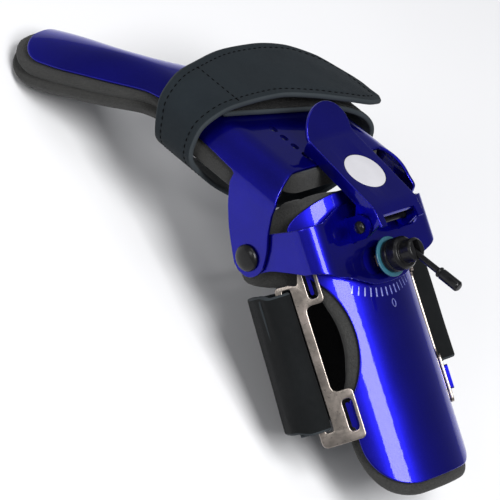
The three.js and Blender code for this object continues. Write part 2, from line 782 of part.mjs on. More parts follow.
// Hand strap, a cloth strip in one and a half turns: inner end, right side, palm, left side, outer end
const strapRoute = [
  { across: -0.72, up: 0.007, rear: 1.1, front: 1.0 },
  { across: -0.3, up: 0.007, rear: 1.0, front: 0.98 },
  { across: 0.3, up: 0.007, rear: 0.86, front: 0.93 },
  { across: 0.74, up: 0.0, rear: 0.74, front: 0.86 },
  { across: 1.04, up: -0.08, rear: 0.6, front: 0.78 },
  { across: 1.17, up: -0.22, rear: 0.54, front: 0.74 },
  { across: 1.14, up: -0.45, rear: 0.52, front: 0.73 },
  { across: 0.98, up: -0.75, rear: 0.55, front: 0.76 },
  { across: 0.62, up: -0.95, rear: 0.64, front: 0.81 },
  { across: 0.1, up: -1.0, rear: 0.78, front: 0.87 },
  { across: -0.38, up: -0.84, rear: 0.92, front: 0.91 },
  { across: -0.8, up: -0.61, rear: 1.0, front: 0.9 },
  { across: -1.05, up: -0.42, rear: 1.05, front: 0.88 },
  { across: -1.09, up: -0.25, rear: 1.08, front: 0.9 },
  { across: -1.05, up: -0.08, rear: 1.08, front: 0.94 },
  { across: -0.84, up: 0.07, rear: 1.06, front: 0.98 },
  { across: -0.5, up: 0.125, rear: 1.04, front: 1.01 },
  { across: -0.1, up: 0.15, rear: 1.0, front: 1.035 },
  { across: 0.33, up: 0.155, rear: 0.85, front: 1.02 },
  { across: 0.74, up: 0.135, rear: 0.67, front: 0.96 },
  { across: 1.03, up: 0.1, rear: 0.59, front: 0.83 },
  { across: 1.18, up: 0.07, rear: 0.61, front: 0.68 },
  { across: 1.25, up: 0.055, rear: 0.69, front: 0.56 },
];
const strapRear = 42;          // rear edge of the strap on top of the plate, ahead of the rivets

function clothBand(route, toPoint, thickness, steps, rows) {
  const curve = new THREE.CatmullRomCurve3(route.map(toPoint), false, 'centripetal');
  const stations = [];
  for (let k = 0; k <= steps; k++) {
    const t = k / steps;
    const place = curve.getPoint(t);
    const at = t * (route.length - 1);
    const row = Math.min(Math.floor(at), route.length - 2);
    const mix = at - row;
    const read = (column) => THREE.MathUtils.lerp(route[row][column], route[row + 1][column], mix);
    stations.push({ x: place.x, z: place.z, rear: read('rear'), front: read('front') });
  }
  const sided = withNormals(stations, 1);
  return { sided, thickness, rows };
}

const handRoute = clothBand(strapRoute, (row) => new THREE.Vector3(row.across * plateHalf, 0,
  plateTop + webbing / 2 + row.up * palmDepth), webbing, 66, 1);
const handStrapGeometry = gridBody(handRoute.sided.length - 1, handRoute.rows, (i, j, side) => {
  const s = handRoute.sided[i];
  const y = THREE.MathUtils.lerp(strapRear * s.rear, (strapRear + handStrap) * s.front, j / handRoute.rows);
  const offset = (side - 0.5) * webbing;
  return new THREE.Vector3(s.x + s.nx * offset, y, s.z + s.nz * offset);
});

// Lever, in its own frame: origin on the pin, Y to the head, Z out of its top
function leverPlace(forward, up) {
  return { y: forward, z: up };
}

function leverPlate() {
  const tail = radians(tailBend);
  const head = radians(headBend);
  const spine = [
    leverPlace(-tailLength * Math.cos(tail), leverHeight - tailLength * Math.sin(tail)),
    leverPlace(0, leverHeight),
    leverPlace(leverReach, leverHeight),
  ];
  for (const share of [0.25, 0.5, 0.7, 0.85, 0.95, 1]) {
    const along = headLength * share;
    spine.push(leverPlace(leverReach + along * Math.cos(head), leverHeight + along * Math.sin(head)));
  }
  const turns = [tail, tail / 2, -head / 2];
  const columns = 4;
  return gridBody(columns, spine.length - 1, (i, j, side) => {
    const slope = j < turns.length ? turns[j] : -head;
    const share = j < 3 ? 0 : [0.25, 0.5, 0.7, 0.85, 0.95, 1][j - 3];
    const half = leverHalf * Math.max(Math.sqrt(1 - share * share), 0.12);
    const stretch = j === 1 || j === 2 ? 1 / Math.cos(turns[j]) : 1;
    const depth = side * metal * stretch;
    return new THREE.Vector3(half * ((2 * i) / columns - 1),
      spine[j].y + Math.sin(slope) * depth, spine[j].z - Math.cos(slope) * depth);
  });
}

function leverWallSolid(side) {
  const shape = new THREE.Shape();
  const lip = leverHeight - metal / 2;
  const low = leverHeight - leverWall;
  const boss = earWidth / 2 - 0.4;
  shape.moveTo(-boss, 0);
  shape.absarc(0, 0, boss, Math.PI, Math.PI * 2, false);
  shape.lineTo(boss + 3, low);
  shape.lineTo(hookReach - hookLength, low);
  shape.lineTo(hookReach - hookLength + 0.6, low - hookDepth + 1);
  shape.lineTo(hookReach - 0.8, low - hookDepth);
  shape.lineTo(hookReach + 0.8, low - hookDepth + 0.6);
  shape.lineTo(leverReach - 0.2, low + 1.2);
  shape.lineTo(leverReach, lip);
  shape.lineTo(0, lip);
  shape.lineTo(-tailLength * 0.75, lip - tailLength * 0.75 * Math.tan(radians(tailBend)));
  const geometry = new THREE.ExtrudeGeometry(shape, { depth: metal, bevelEnabled: false, curveSegments: 8 });
  geometry.rotateX(Math.PI / 2);
  geometry.rotateZ(Math.PI / 2);
  geometry.translate(side > 0 ? leverHalf - metal : -leverHalf, 0, 0);
  return solid(geometry);
}

// The hooks end just clear of the plate's holes
const hookPoint = new THREE.Vector2(hookReach, 0).rotateAround(new THREE.Vector2(), radians(-leverPitch));
const hookAt = new THREE.Vector2(pinForward + hookPoint.x, pinHeight + hookPoint.y);
const plateLevel = new THREE.Vector2(0, plateTop).rotateAround(new THREE.Vector2(), radians(-handPitch));
const plateNormal = plateLevel.clone().normalize();
const hookAbove = hookAt.dot(plateNormal) - plateTop;
const hookDepth = leverHeight - leverWall + hookAbove / Math.cos(radians(handPitch - leverPitch)) - hookClear;

let lever = solid(leverPlate());
lever = lever.add(leverWallSolid(-1)).add(leverWallSolid(1));
lever = lever.subtract(cylinderAt(pinRadius + gap, 60, 14, 0, 0, 0, 'x'));
lever = lever.subtract(cylinderAt(labelRadius + gap, labelThick + gap, 32, 0, labelPlace,
  leverHeight - (labelThick + gap) / 2 + 0.01, 'z'));
const notchBack = -tailLength * Math.cos(radians(tailBend));
lever = lever.subtract(boxAt(notchHalf * 2, notchDepth * 2, 12, 0, notchBack, leverHeight - 3));

// Lock knob, washer and nut on the stud
const washerBottom = yokeTop + 3.4;
const knobBottom = washerBottom + washerThick + gap;
const bossTop = knobBottom + knobHeight + bossHeight;
const keyPivot = bossTop - 3.2;

function turned(profile, sides) {
  const points = profile.map(([r, z]) => new THREE.Vector2(r, z));
  const geometry = new THREE.LatheGeometry(points, sides);
  geometry.rotateX(Math.PI / 2);
  return geometry;
}

const stud = turned([
  [0, footBottom], [nutRadius, footBottom], [nutRadius, footBottom + footHeight],
  [studRadius, footBottom + footHeight],
  [studRadius, knobBottom + knobHeight * 0.6], [0, knobBottom + knobHeight * 0.6],
], 20).translate(0, -lockBack, 0);

const bore = studRadius + gap;
const nutMiddle = shellTop + gap + nutHeight / 2;
const nut = cylinderAt(nutRadius, nutHeight, 6, 0, -lockBack, nutMiddle, 'z')
  .subtract(cylinderAt(bore, nutHeight + 2, 20, 0, -lockBack, nutMiddle, 'z'));

const washer = turned([
  [bore, washerBottom], [washerRadius, washerBottom], [washerRadius, washerBottom + washerThick],
  [bore, washerBottom + washerThick], [bore, washerBottom],
], 24).translate(0, -lockBack, 0);

const knobRim = knobBottom + knobHeight;
let knob = solid(turned([
  [0, knobBottom], [knobRadius - 0.4, knobBottom], [knobRadius, knobBottom + 0.5],
  [knobRadius, knobRim - 1], [knobRadius - 0.9, knobRim], [bossRadius, knobRim],
  [bossRadius, bossTop - 0.8], [bossRadius - 0.8, bossTop], [0, bossTop],
], 24).translate(0, -lockBack, 0));
knob = knob.subtract(cylinderAt(bore, knobHeight * 1.3 + 2 * gap, 20, 0, -lockBack, knobBottom, 'z'));
const keySlot = 2 * rodRadius + 2 * gap;
knob = knob.subtract(boxAt(keySlot, bossRadius * 2 + 2, 6, 0, -lockBack - bossRadius * 0.45, keyPivot + 1.4));

// Key handle, in its own frame: origin on its pivot, Y towards the grip
function keySolid() {
  const joint = gripRadius * 0.8;
  const profile = [
    [0, -rodRadius], [rodRadius * 0.8, -rodRadius * 0.7], [rodRadius, 0],
    [rodRadius, keyLength - gripLength], [gripRadius - 0.4, keyLength - gripLength],
    [gripRadius, keyLength - gripLength + 0.5], [joint, keyLength - gripLength + 1.4],
    [gripRadius, keyLength - gripLength + 2.2], [gripRadius, keyLength - 1],
    [gripRadius * 0.7, keyLength], [0, keyLength],
  ];
  const points = profile.map(([r, y]) => new THREE.Vector2(r, y));
  return new THREE.LatheGeometry(points, 12);
}

// Forearm strap: folded round the bar of each buckle, and slung under the forearm
const wrapRadius = buckleThick / 2 + webbing / 2 + 0.75;
const wrapCentre = barStart - 0.5 - webbing / 2 + wrapRadius;

// Tight turn round the left bar: t and n are shares of the turn's radius about the bar
const leftTurn = [
  { t: 3.4, n: -1 }, { t: 1.3, n: -1 }, { t: 0, n: -1 }, { t: -0.7, n: -0.7 }, { t: -1, n: 0 },
  { t: -0.7, n: 0.72 }, { t: 0, n: 1.05 }, { t: 1.4, n: 1.05 },
];

// Loose turn round the right bar, which stands out over it
const rightTurn = [
  { t: 3.4, n: -1 }, { t: 1.3, n: -1 }, { t: 0, n: -1 }, { t: -0.7, n: -0.7 }, { t: -1, n: 0 },
  { t: -0.85, n: 1.1 }, { t: -0.35, n: 2.2 }, { t: 0.8, n: 2.95 }, { t: 2.2, n: 2.5 }, { t: 3.1, n: 1.2 },
];

function turnRound(frame, table) {
  return table.map((row) => inFrame(frame, wrapCentre + row.t * wrapRadius,
    buckleThick / 2 + row.n * wrapRadius));
}

function strapLoop() {
  const left = turnRound(leftFrame, leftTurn);
  const right = turnRound(rightFrame, rightTurn).reverse();
  const leftOut = left[left.length - 1];
  const rightOut = right[0];
  const under = -strapBottom + webbing / 2;
  const middle = [
    new THREE.Vector3(leftOut.x - 1.0, 0, leftOut.z - 5),
    new THREE.Vector3(leftOut.x - 0.2, 0, leftOut.z - 11),
    new THREE.Vector3(leftOut.x + 5.2, 0, leftOut.z - 19),
    new THREE.Vector3(leftOut.x * 0.66, 0, under + 6),
    new THREE.Vector3(leftOut.x * 0.44, 0, under + 0.3),
    new THREE.Vector3(leftOut.x * 0.3, 0, under),
    new THREE.Vector3(0, 0, under),
    new THREE.Vector3(rightOut.x * 0.3, 0, under),
    new THREE.Vector3(rightOut.x * 0.52, 0, under),
    new THREE.Vector3(rightOut.x * 0.7, 0, under + 3.5),
    new THREE.Vector3(rightOut.x * 0.87, 0, under + 13),
    new THREE.Vector3(rightOut.x * 0.97, 0, under + 24),
  ];
  const path = left.concat(middle, right);
  const curve = new THREE.CatmullRomCurve3(path.map((p) => new THREE.Vector3(p.x, 0, p.z)), false, 'centripetal');
  const steps = 72;
  const stations = [];
  for (let k = 0; k <= steps; k++) {
    const at = curve.getPoint(k / steps);
    stations.push({ x: at.x, z: at.z, share: k / steps });
  }
  const sided = withNormals(stations, 1);
  return gridBody(steps, 1, (i, j, side) => {
    const s = sided[i];
    const rear = -strapCentre - forearmStrap / 2 + strapTaper * ease(0.57, 0.72, s.share);
    const front = -strapCentre + forearmStrap / 2;
    const lean = strapLean * ease(0.24, 0.3, s.share) * (1 - ease(0.38, 0.5, s.share));
    const offset = (side - 0.5) * webbing;
    const narrow = j === 1 ? 1 - strapCone * ease(0.25, 0.31, s.share) * (1 - ease(0.4, 0.5, s.share)) : 1;
    return new THREE.Vector3((s.x + s.nx * offset) * narrow, (j === 0 ? rear : front) + lean,
      s.z + s.nz * offset);
  });
}

// Scene: nested groups carry the hand, the lever and the key

const whole = new THREE.Group();
const forearmGroup = new THREE.Group();
const handGroup = new THREE.Group();
handGroup.rotation.x = -radians(handPitch);
const leverGroup = new THREE.Group();
leverGroup.position.set(0, pinForward, pinHeight);
leverGroup.rotation.x = -radians(leverPitch);
const keyGroup = new THREE.Group();
keyGroup.position.set(0, -lockBack, keyPivot);
keyGroup.rotation.x = Math.PI - radians(keyRise);
forearmGroup.add(handGroup, leverGroup, keyGroup);
whole.add(forearmGroup);

function place(parent, name, geometry, material) {
  const mesh = new THREE.Mesh(geometry, material);
  mesh.name = name;
  parent.add(mesh);
  return mesh;
}

place(forearmGroup, 'forearm_shell', geometryOf(shell), bluePaint);
place(forearmGroup, 'forearm_pad', geometryOf(pad), foamGrey);
place(forearmGroup, 'buckle_left', buckleSolid(leftFrame), zinc);
place(forearmGroup, 'buckle_right', buckleSolid(rightFrame), zinc);
place(forearmGroup, 'lock_stud', stud, zinc);
place(forearmGroup, 'lock_nut', geometryOf(nut), yellowZinc);
place(forearmGroup, 'lock_washer', washer, washerBlue);
place(forearmGroup, 'lock_knob', geometryOf(knob), blackMetal);
place(forearmGroup, 'yoke', geometryOf(yoke), bluePaint);
place(forearmGroup, 'lever_pin', geometryOf(leverPin), blackMetal);
place(forearmGroup, 'rivet_left', wristRivet(-1), blackMetal);
place(forearmGroup, 'rivet_right', wristRivet(1), blackMetal);
place(handGroup, 'hand_plate', geometryOf(plate), bluePaint);
place(handGroup, 'hand_strap', handStrapGeometry, handCloth);
place(leverGroup, 'lever', geometryOf(lever), bluePaint);
place(leverGroup, 'lever_label', new THREE.CylinderGeometry(labelRadius, labelRadius, labelThick, 32)
  .rotateX(Math.PI / 2).translate(0, labelPlace, leverHeight - labelThick / 2), labelWhite);
place(keyGroup, 'key_handle', keySolid(), blackMetal);
const strapMesh = place(forearmGroup, 'forearm_strap', strapLoop(), blackCloth);
const foamMesh = place(handGroup, 'hand_pad', geometryOf(handFoam), foamGrey);

// Pitch of the forearm at which the strap and the fingertip foam both reach the surface
function lowest(mesh) {
  whole.updateMatrixWorld(true);
  return new THREE.Box3().setFromObject(mesh, true).min.z;
}
let low = radians(5);
let high = radians(40);
for (let k = 0; k < 30; k++) {
  forearmGroup.rotation.x = (low + high) / 2;
  if (lowest(foamMesh) < lowest(strapMesh)) low = forearmGroup.rotation.x;
  else high = forearmGroup.rotation.x;
}

// Flattens both where they rest, with a level cut
function flatten(mesh) {
  const floor = lowest(strapMesh) + flattening;
  const slab = new THREE.BoxGeometry(600, 600, 60).translate(0, 0, floor - 30);
  slab.applyMatrix4(mesh.matrixWorld.clone().invert());
  return solid(mesh.geometry).subtract(solid(slab));
}
const flatStrap = geometryOf(flatten(strapMesh));
const flatFoam = geometryOf(flatten(foamMesh));
strapMesh.geometry = flatStrap;
foamMesh.geometry = flatFoam;

// The origin is under the middle of the whole, on the surface
whole.updateMatrixWorld(true);
const box = new THREE.Box3().setFromObject(whole, true);
whole.position.set(-(box.min.x + box.max.x) / 2, -(box.min.y + box.max.y) / 2, -box.min.z);

export default whole;
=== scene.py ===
"""Looks of the rigid bowling wrist positioner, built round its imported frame."""

import math

import bmesh
import bpy
import numpy as np
from mathutils import Matrix, Vector


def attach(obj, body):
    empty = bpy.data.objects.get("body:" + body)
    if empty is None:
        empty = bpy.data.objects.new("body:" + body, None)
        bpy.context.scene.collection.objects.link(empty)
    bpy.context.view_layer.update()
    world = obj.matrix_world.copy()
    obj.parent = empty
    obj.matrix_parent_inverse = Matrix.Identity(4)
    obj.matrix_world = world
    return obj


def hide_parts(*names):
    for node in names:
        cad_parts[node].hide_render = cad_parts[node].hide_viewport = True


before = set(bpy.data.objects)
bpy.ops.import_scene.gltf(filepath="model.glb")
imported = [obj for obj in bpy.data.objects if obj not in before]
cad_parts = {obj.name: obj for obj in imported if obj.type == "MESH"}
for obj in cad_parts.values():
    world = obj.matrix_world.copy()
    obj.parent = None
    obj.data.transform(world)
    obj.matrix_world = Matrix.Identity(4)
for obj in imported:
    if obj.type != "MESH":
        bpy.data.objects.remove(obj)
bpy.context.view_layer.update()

# Sizes of the part's source, in millimetres and degrees
METAL, FOAM, WEBBING, GAP = 1.6, 6.4, 2.5, 0.3
SHELL_RADIUS, SHELL_TOP, SHELL_REAR, SHELL_CORNER, SHELL_ANGLE = 43.0, 36.1, 118.0, 24.0, 50.0
BITE_CENTRE, BITE_LENGTH, BITE_ANGLE = 46.0, 57.0, 17.0
TONGUE_LENGTH, TONGUE_WIDTH = 16.0, 66.0
PAD_MARGIN, WING_ANGLE, WING_REAR, WING_FRONT, WING_INSET, PAD_FRONT = 5.2, 103.0, 17.0, 13.0, 4.2, 16.4
YOKE_HALF, YOKE_TOP, YOKE_CORNER, ARM_RADIUS = 42.4, 38.0, 9.5, 8.2
YOKE_REAR, YOKE_FRONT, SLOT_HALF, SLOT_WIDTH, TILT_PIVOT = 29.0, 10.0, 16.0, 12.4, 6.0
RIVET_HEAD, RIVET_SHANK, RIVET_DOME, RIVET_FOOT = 12.4, 5.0, 3.2, 9.0
HAND_PITCH, PLATE_HALF, PLATE_TOP, PLATE_CORNER = 41.5, 44.3, 42.0, 17.0
PLATE_REACH, PLATE_CUT, HAND_ARM = 74.0, 3.0, 8.8
HOLE_PITCH, HOLE_LENGTH, HOLE_WIDTH, HOLE_COUNT, FIRST_HOLE = 7.0, 4.6, 3.0, 4, 10.7
FINGER_WIDTH, FINGER_WAIST, FINGER_RISE, FINGER_REACH = 40.0, 33.0, 10.0, 158.0
FINGER_DROP, FINGER_SIDE, FINGER_ROOT, FINGER_PAD, TIP_MARGIN = 24.0, 34.0, 24.0, 11.5, 6.5
HAND_PAD, HAND_PAD_REAR, HAND_PAD_DEPTH = 11.0, 0.9, 20.5
HAND_STRAP, PALM_DEPTH, STRAP_REAR = 36.0, 50.0, 42.0
LEVER_HALF, LEVER_PITCH, PIN_FORWARD, PIN_HEIGHT = 15.0, 33.4, -2.1, 44.6
LEVER_HEIGHT, LEVER_REACH, HEAD_LENGTH, HEAD_BEND, TAIL_LENGTH, TAIL_BEND = 11.3, 44.8, 15.0, 40.0, 8.7, 25.0
LEVER_WALL, NOTCH_HALF, NOTCH_DEPTH, HOOK_REACH, HOOK_LENGTH, HOOK_CLEAR = 5.8, 11.0, 4.2, 43.0, 4.0, 0.4
LABEL_RADIUS, LABEL_THICK, LABEL_PLACE = 10.2, 0.5, 20.6
EAR_WIDTH, PIN_RADIUS, PIN_DOME = 11.0, 1.6, 2.9
LOCK_BACK, STUD_RADIUS, NUT_RADIUS = 18.5, 2.6, 5.0
WASHER_RADIUS, WASHER_THICK = 9.2, 0.9
KNOB_RADIUS, KNOB_HEIGHT, BOSS_RADIUS, BOSS_HEIGHT = 7.6, 9.0, 5.3, 6.6
KEY_RISE, KEY_LENGTH, ROD_RADIUS, GRIP_RADIUS, GRIP_LENGTH = 42.0, 29.0, 1.5, 2.5, 12.5
TICK_COUNT, TICK_ANGLE, TICK_LENGTH, TICK_WIDTH, TICK_DEPTH = 15, 4.3, 4.2, 0.7, 0.35
BUCKLE_THICK, BUCKLE_REAR, BUCKLE_FRONT, RAIL_START = 1.6, 91.0, 15.5, 9.0
REAR_TAB, FRONT_TAB, TAB_FRONT, RAIL_WIDTH, STRAP_SLOT, BAR_WIDTH = 23.0, 20.0, 8.5, 4.4, 3.6, 3.2
BUCKLE_SLOPE = {-1: 50.0, 1: 48.0}
HOOK_SLOT_START, HOOK_SLOT_LENGTH, HOOK_SLOT_WIDTH, HOOK_TAB, SLOT_PLAY = 1.9, 14.5, 4.4, 4.0, 1.0
FOREARM_STRAP, STRAP_CENTRE, STRAP_BOTTOM = 63.5, 51.6, 28.5
STRAP_TAPER, STRAP_LEAN, STRAP_CONE = 11.0, 2.0, 0.07

# Roundings and meshes of the looks
METAL_ROUND = 0.42
FOAM_ROUND = 2.0
CLOTH_ROUND = 1.0
BUCKLE_ROUND = 0.45
WELD = 1e-6

# Heights of the lock's pieces in the forearm's frame, and the frame's slope at rest
WASHER_BOTTOM = YOKE_TOP + 3.4
KNOB_BOTTOM = WASHER_BOTTOM + WASHER_THICK + GAP
BOSS_TOP = KNOB_BOTTOM + KNOB_HEIGHT + BOSS_HEIGHT
KEY_PIVOT = BOSS_TOP - 3.2
REST_PITCH = math.asin(0.351708)


def turn_x(degrees):
    return Matrix.Rotation(math.radians(degrees), 4, "X")


# The forearm's frame at rest, and the hand's, the lever's and the key's
FOREARM = Matrix.Translation((-0.251, -14.846, 55.458)) @ Matrix.Rotation(REST_PITCH, 4, "X")
HAND = FOREARM @ turn_x(-HAND_PITCH)
LEVER = FOREARM @ Matrix.Translation((0, PIN_FORWARD, PIN_HEIGHT)) @ turn_x(-LEVER_PITCH)
KEY = FOREARM @ Matrix.Translation((0, -LOCK_BACK, KEY_PIVOT)) @ turn_x(180 - KEY_RISE)
TO_METRES = Matrix.Scale(0.001, 4)


# Numbers along tables and curves

def ease(start, end, at):
    t = np.clip((np.asarray(at, float) - start) / (end - start), 0, 1)
    return t * t * (3 - 2 * t)


def lerp(a, b, t):
    return a + (b - a) * t


def smooth_table(keys, values, at):
    """A monotone cubic through a table, level outside it."""
    x, y = np.asarray(keys, float), np.asarray(values, float)
    at = np.clip(np.asarray(at, float), x[0], x[-1])
    h = np.diff(x)
    d = np.diff(y) / h
    m = np.zeros(len(x))
    m[0], m[-1] = d[0], d[-1]
    for k in range(1, len(x) - 1):
        if d[k - 1] * d[k] > 0:
            w1, w2 = 2 * h[k] + h[k - 1], h[k] + 2 * h[k - 1]
            m[k] = (w1 + w2) / (w1 / d[k - 1] + w2 / d[k])
    k = np.clip(np.searchsorted(x, at, side="right") - 1, 0, len(h) - 1)
    t = (at - x[k]) / h[k]
    return (
        y[k] * (1 + 2 * t) * (1 - t) ** 2
        + m[k] * h[k] * t * (1 - t) ** 2
        + y[k + 1] * t * t * (3 - 2 * t)
        + m[k + 1] * h[k] * t * t * (t - 1)
    )


def catmull_rom(points, count):
    """Places on a centripetal Catmull-Rom curve, spread over its points, and where on the table each is."""
    p = np.asarray(points, float)
    p = np.vstack([2 * p[0] - p[1], p, 2 * p[-1] - p[-2]])
    places, at_row = [], []
    for k in range(count + 1):
        at = k / count * (len(points) - 1)
        i = min(int(at), len(points) - 2)
        w = at - i
        a, b, c, d = p[i:i + 4]
        steps = [max(np.linalg.norm(q - r) ** 0.5, 1e-4) for q, r in ((b, a), (c, b), (d, c))]
        m1 = ((b - a) / steps[0] - (c - a) / (steps[0] + steps[1]) + (c - b) / steps[1]) * steps[1]
        m2 = ((c - b) / steps[1] - (d - b) / (steps[1] + steps[2]) + (d - c) / steps[2]) * steps[1]
        places.append(b + m1 * w + (3 * (c - b) - 2 * m1 - m2) * w**2 + (2 * (b - c) + m1 + m2) * w**3)
        at_row.append(at)
    return np.array(places), np.array(at_row)


# Meshes

def unit(v):
    return v / np.maximum(np.linalg.norm(v, axis=-1, keepdims=True), 1e-9)


def grid_normals(grid):
    """Each point's normal, from the faces round it."""
    face = np.cross(grid[1:, 1:] - grid[:-1, :-1], grid[1:, :-1] - grid[:-1, 1:])
    total = np.zeros_like(grid)
    for j in (slice(0, -1), slice(1, None)):
        for i in (slice(0, -1), slice(1, None)):
            total[j, i] += face
    return unit(total)


def sheet(outer, thickness, rounding, arcs=4):
    """A closed sheet under a grid of points, rows by columns, whose rounded rim stands out by its rounding.
    Gives the vertices, the faces, each vertex's place (across, along, depth) in mm, and each face's kind:
    0 outer, 1 rim, 2 inner."""
    rows, columns = outer.shape[:2]
    normal = grid_normals(outer)
    loop = [(0, i) for i in range(columns)] + [(j, columns - 1) for j in range(1, rows)]
    loop += [(rows - 1, i) for i in range(columns - 2, -1, -1)] + [(j, 0) for j in range(rows - 2, 0, -1)]
    b = np.array([outer[j, i] for j, i in loop])
    n = np.array([normal[j, i] for j, i in loop])
    tangent = unit(unit(np.roll(b, -1, 0) - b) + unit(b - np.roll(b, 1, 0)))
    out = unit(np.cross(tangent, n))
    across = np.cumsum(np.linalg.norm(np.diff(outer, axis=0, prepend=outer[:1]), axis=2), axis=0)
    along = np.cumsum(np.linalg.norm(np.diff(outer, axis=1, prepend=outer[:, :1]), axis=2), axis=1)
    along = np.broadcast_to(along.mean(0), along.shape)
    flat = np.stack([across, along, np.zeros_like(across)], axis=2)
    flat_loop = np.array([flat[j, i] for j, i in loop])
    verts = [outer.reshape(-1, 3), (outer - normal * thickness).reshape(-1, 3)]
    places = [flat.reshape(-1, 3), (flat + [0, 0, thickness]).reshape(-1, 3)]
    turns = [math.pi / 2 * k / arcs for k in range(1, arcs + 1)]
    steps = [(rounding * math.sin(a), rounding * (1 - math.cos(a))) for a in turns]
    mirrored = [(o, thickness - d) for o, d in reversed(steps)]
    if thickness - 2 * rounding < 1e-6:
        mirrored = mirrored[1:]
    for o, d in steps + mirrored:
        verts.append(b + out * o - n * d)
        places.append(flat_loop + [0, 0, d])
    faces, kinds = [], []
    size = rows * columns
    for j in range(rows - 1):
        for i in range(columns - 1):
            a = j * columns + i
            faces.append((a, a + 1, a + columns + 1, a + columns))
            faces.append((a + size, a + columns + size, a + columns + 1 + size, a + 1 + size))
            kinds += [0, 2]
    count = len(loop)
    rings = [[j * columns + i for j, i in loop]]
    for k in range(len(steps) + len(mirrored)):
        rings.append([2 * size + k * count + m for m in range(count)])
    rings.append([size + j * columns + i for j, i in loop])
    for upper, lower in zip(rings, rings[1:]):
        for m in range(count):
            o = (m + 1) % count
            faces.append((upper[m], lower[m], lower[o], upper[o]))
            kinds.append(1)
    return np.vstack(verts), faces, np.vstack(places), kinds


def prism(outline, low, high, axis="z"):
    """A prism over a 2-D outline, along z, or along x with the outline in y and z."""
    points = [(p[0], p[1], h) for h in (low, high) for p in outline]
    n = len(outline)
    faces = [tuple(range(n))[::-1], tuple(range(n, 2 * n))]
    faces += [(k, (k + 1) % n, n + (k + 1) % n, n + k) for k in range(n)]
    verts = np.array(points, float)
    if axis == "x":
        verts = verts[:, [2, 0, 1]]
    return verts, faces


def lathe(profile, sides=64):
    """Turns a closed profile of (radius, height) round the z axis."""
    verts, faces, rings = [], [], []
    for r, z in profile:
        if r < 1e-6:
            rings.append([len(verts)])
            verts.append((0, 0, z))
        else:
            rings.append(list(range(len(verts), len(verts) + sides)))
            verts += [(x, y, z) for x, y in circle(r, 0, 0, sides)]
    pairs = list(zip(rings, rings[1:]))
    if len(rings[0]) > 1:
        pairs.append((rings[-1], rings[0]))
    for a, b in pairs:
        for k in range(sides):
            m = (k + 1) % sides
            if len(a) == 1 and len(b) > 1:
                faces.append((a[0], b[m], b[k]))
            elif len(b) == 1 and len(a) > 1:
                faces.append((a[k], a[m], b[0]))
            elif len(a) > 1:
                faces.append((a[k], a[m], b[m], b[k]))
    return np.array(verts, float), faces


def rounded(profile, radius, steps=4):
    """Rounds a profile's corners, apart from those on the axis."""
    made = []
    count = len(profile)
    for k, here in enumerate(profile):
        before, after = profile[k - 1], profile[(k + 1) % count]
        p, a, b = Vector(here), Vector(before), Vector(after)
        if here[0] < 1e-6 or (a - p).length < 1e-6 or (b - p).length < 1e-6:
            made.append(here)
            continue
        u, v = (a - p).normalized(), (b - p).normalized()
        cut = min(radius, (a - p).length * 0.45, (b - p).length * 0.45)
        if abs(u.dot(v)) > 0.995:
            made.append(here)
            continue
        for s in range(steps + 1):
            t = s / steps
            q = (p + u * cut) * (1 - t) ** 2 + p * 2 * t * (1 - t) + (p + v * cut) * t * t
            made.append((q.x, q.y))
    return made


def circle(radius, x=0.0, y=0.0, sides=48):
    return [(x + radius * math.cos(2 * math.pi * k / sides), y + radius * math.sin(2 * math.pi * k / sides))
            for k in range(sides)]


def slot_outline(length, width, x, y, along_y=False, sides=16):
    straight = (length - width) / 2
    points = []
    for end in (1, -1):
        for k in range(sides + 1):
            turn = math.radians(-90 + 180 * k / sides + (0 if end > 0 else 180))
            points.append((end * straight + width / 2 * math.cos(turn), width / 2 * math.sin(turn)))
    if along_y:
        points = [(-b, a) for a, b in points]
    return [(x + a, y + b) for a, b in points]


def placed(data, matrix):
    """A mesh's vertices moved by a matrix in millimetres."""
    m = np.array(matrix)
    verts = data[0] @ m[:3, :3].T + m[:3, 3]
    faces = data[1]
    if np.linalg.det(m[:3, :3]) < 0:
        faces = [tuple(reversed(f)) for f in faces]
    return (verts, faces) + tuple(data[2:])


def joined(*parts):
    """Several meshes as one, each a (vertices, faces) pair."""
    verts, faces, start = [], [], 0
    for part in parts:
        verts.append(part[0])
        faces += [tuple(k + start for k in f) for f in part[1]]
        start += len(part[0])
    return np.vstack(verts), faces


def new_object(name, data):
    made = bpy.data.objects.new(name, data)
    bpy.context.scene.collection.objects.link(made)
    return made


def raw_object(data, matrix, materials=(), kinds=None, flat=None):
    """An object from mesh data in millimetres, with each face's material and each vertex's flat place."""
    mesh = bpy.data.meshes.new("piece")
    mesh.from_pydata(data[0].tolist(), [], [list(f) for f in data[1]])
    if flat is not None:
        uv = mesh.uv_layers.new(name="Flat")
        index = np.empty(len(mesh.loops), int)
        mesh.loops.foreach_get("vertex_index", index)
        uv.data.foreach_set("uv", (flat[index][:, [1, 0]] * 0.001).astype(np.float32).ravel())
    for m in materials:
        mesh.materials.append(m)
    if kinds is not None:
        mesh.polygons.foreach_set("material_index", np.asarray(kinds, np.int32))
    mesh.transform(TO_METRES @ matrix)
    return new_object("piece", mesh)


def mend_normals(mesh, angle):
    b = bmesh.new()
    b.from_mesh(mesh)
    bmesh.ops.recalc_face_normals(b, faces=b.faces)
    b.to_mesh(mesh)
    b.free()
    mesh.shade_smooth()
    if angle:
        mesh.set_sharp_from_angle(angle=math.radians(angle))


def keep_result(base):
    """Makes what the modifiers give the object's own mesh."""
    deps = bpy.context.evaluated_depsgraph_get()
    mesh = bpy.data.meshes.new_from_object(base.evaluated_get(deps))
    base.modifiers.clear()
    base.data = mesh


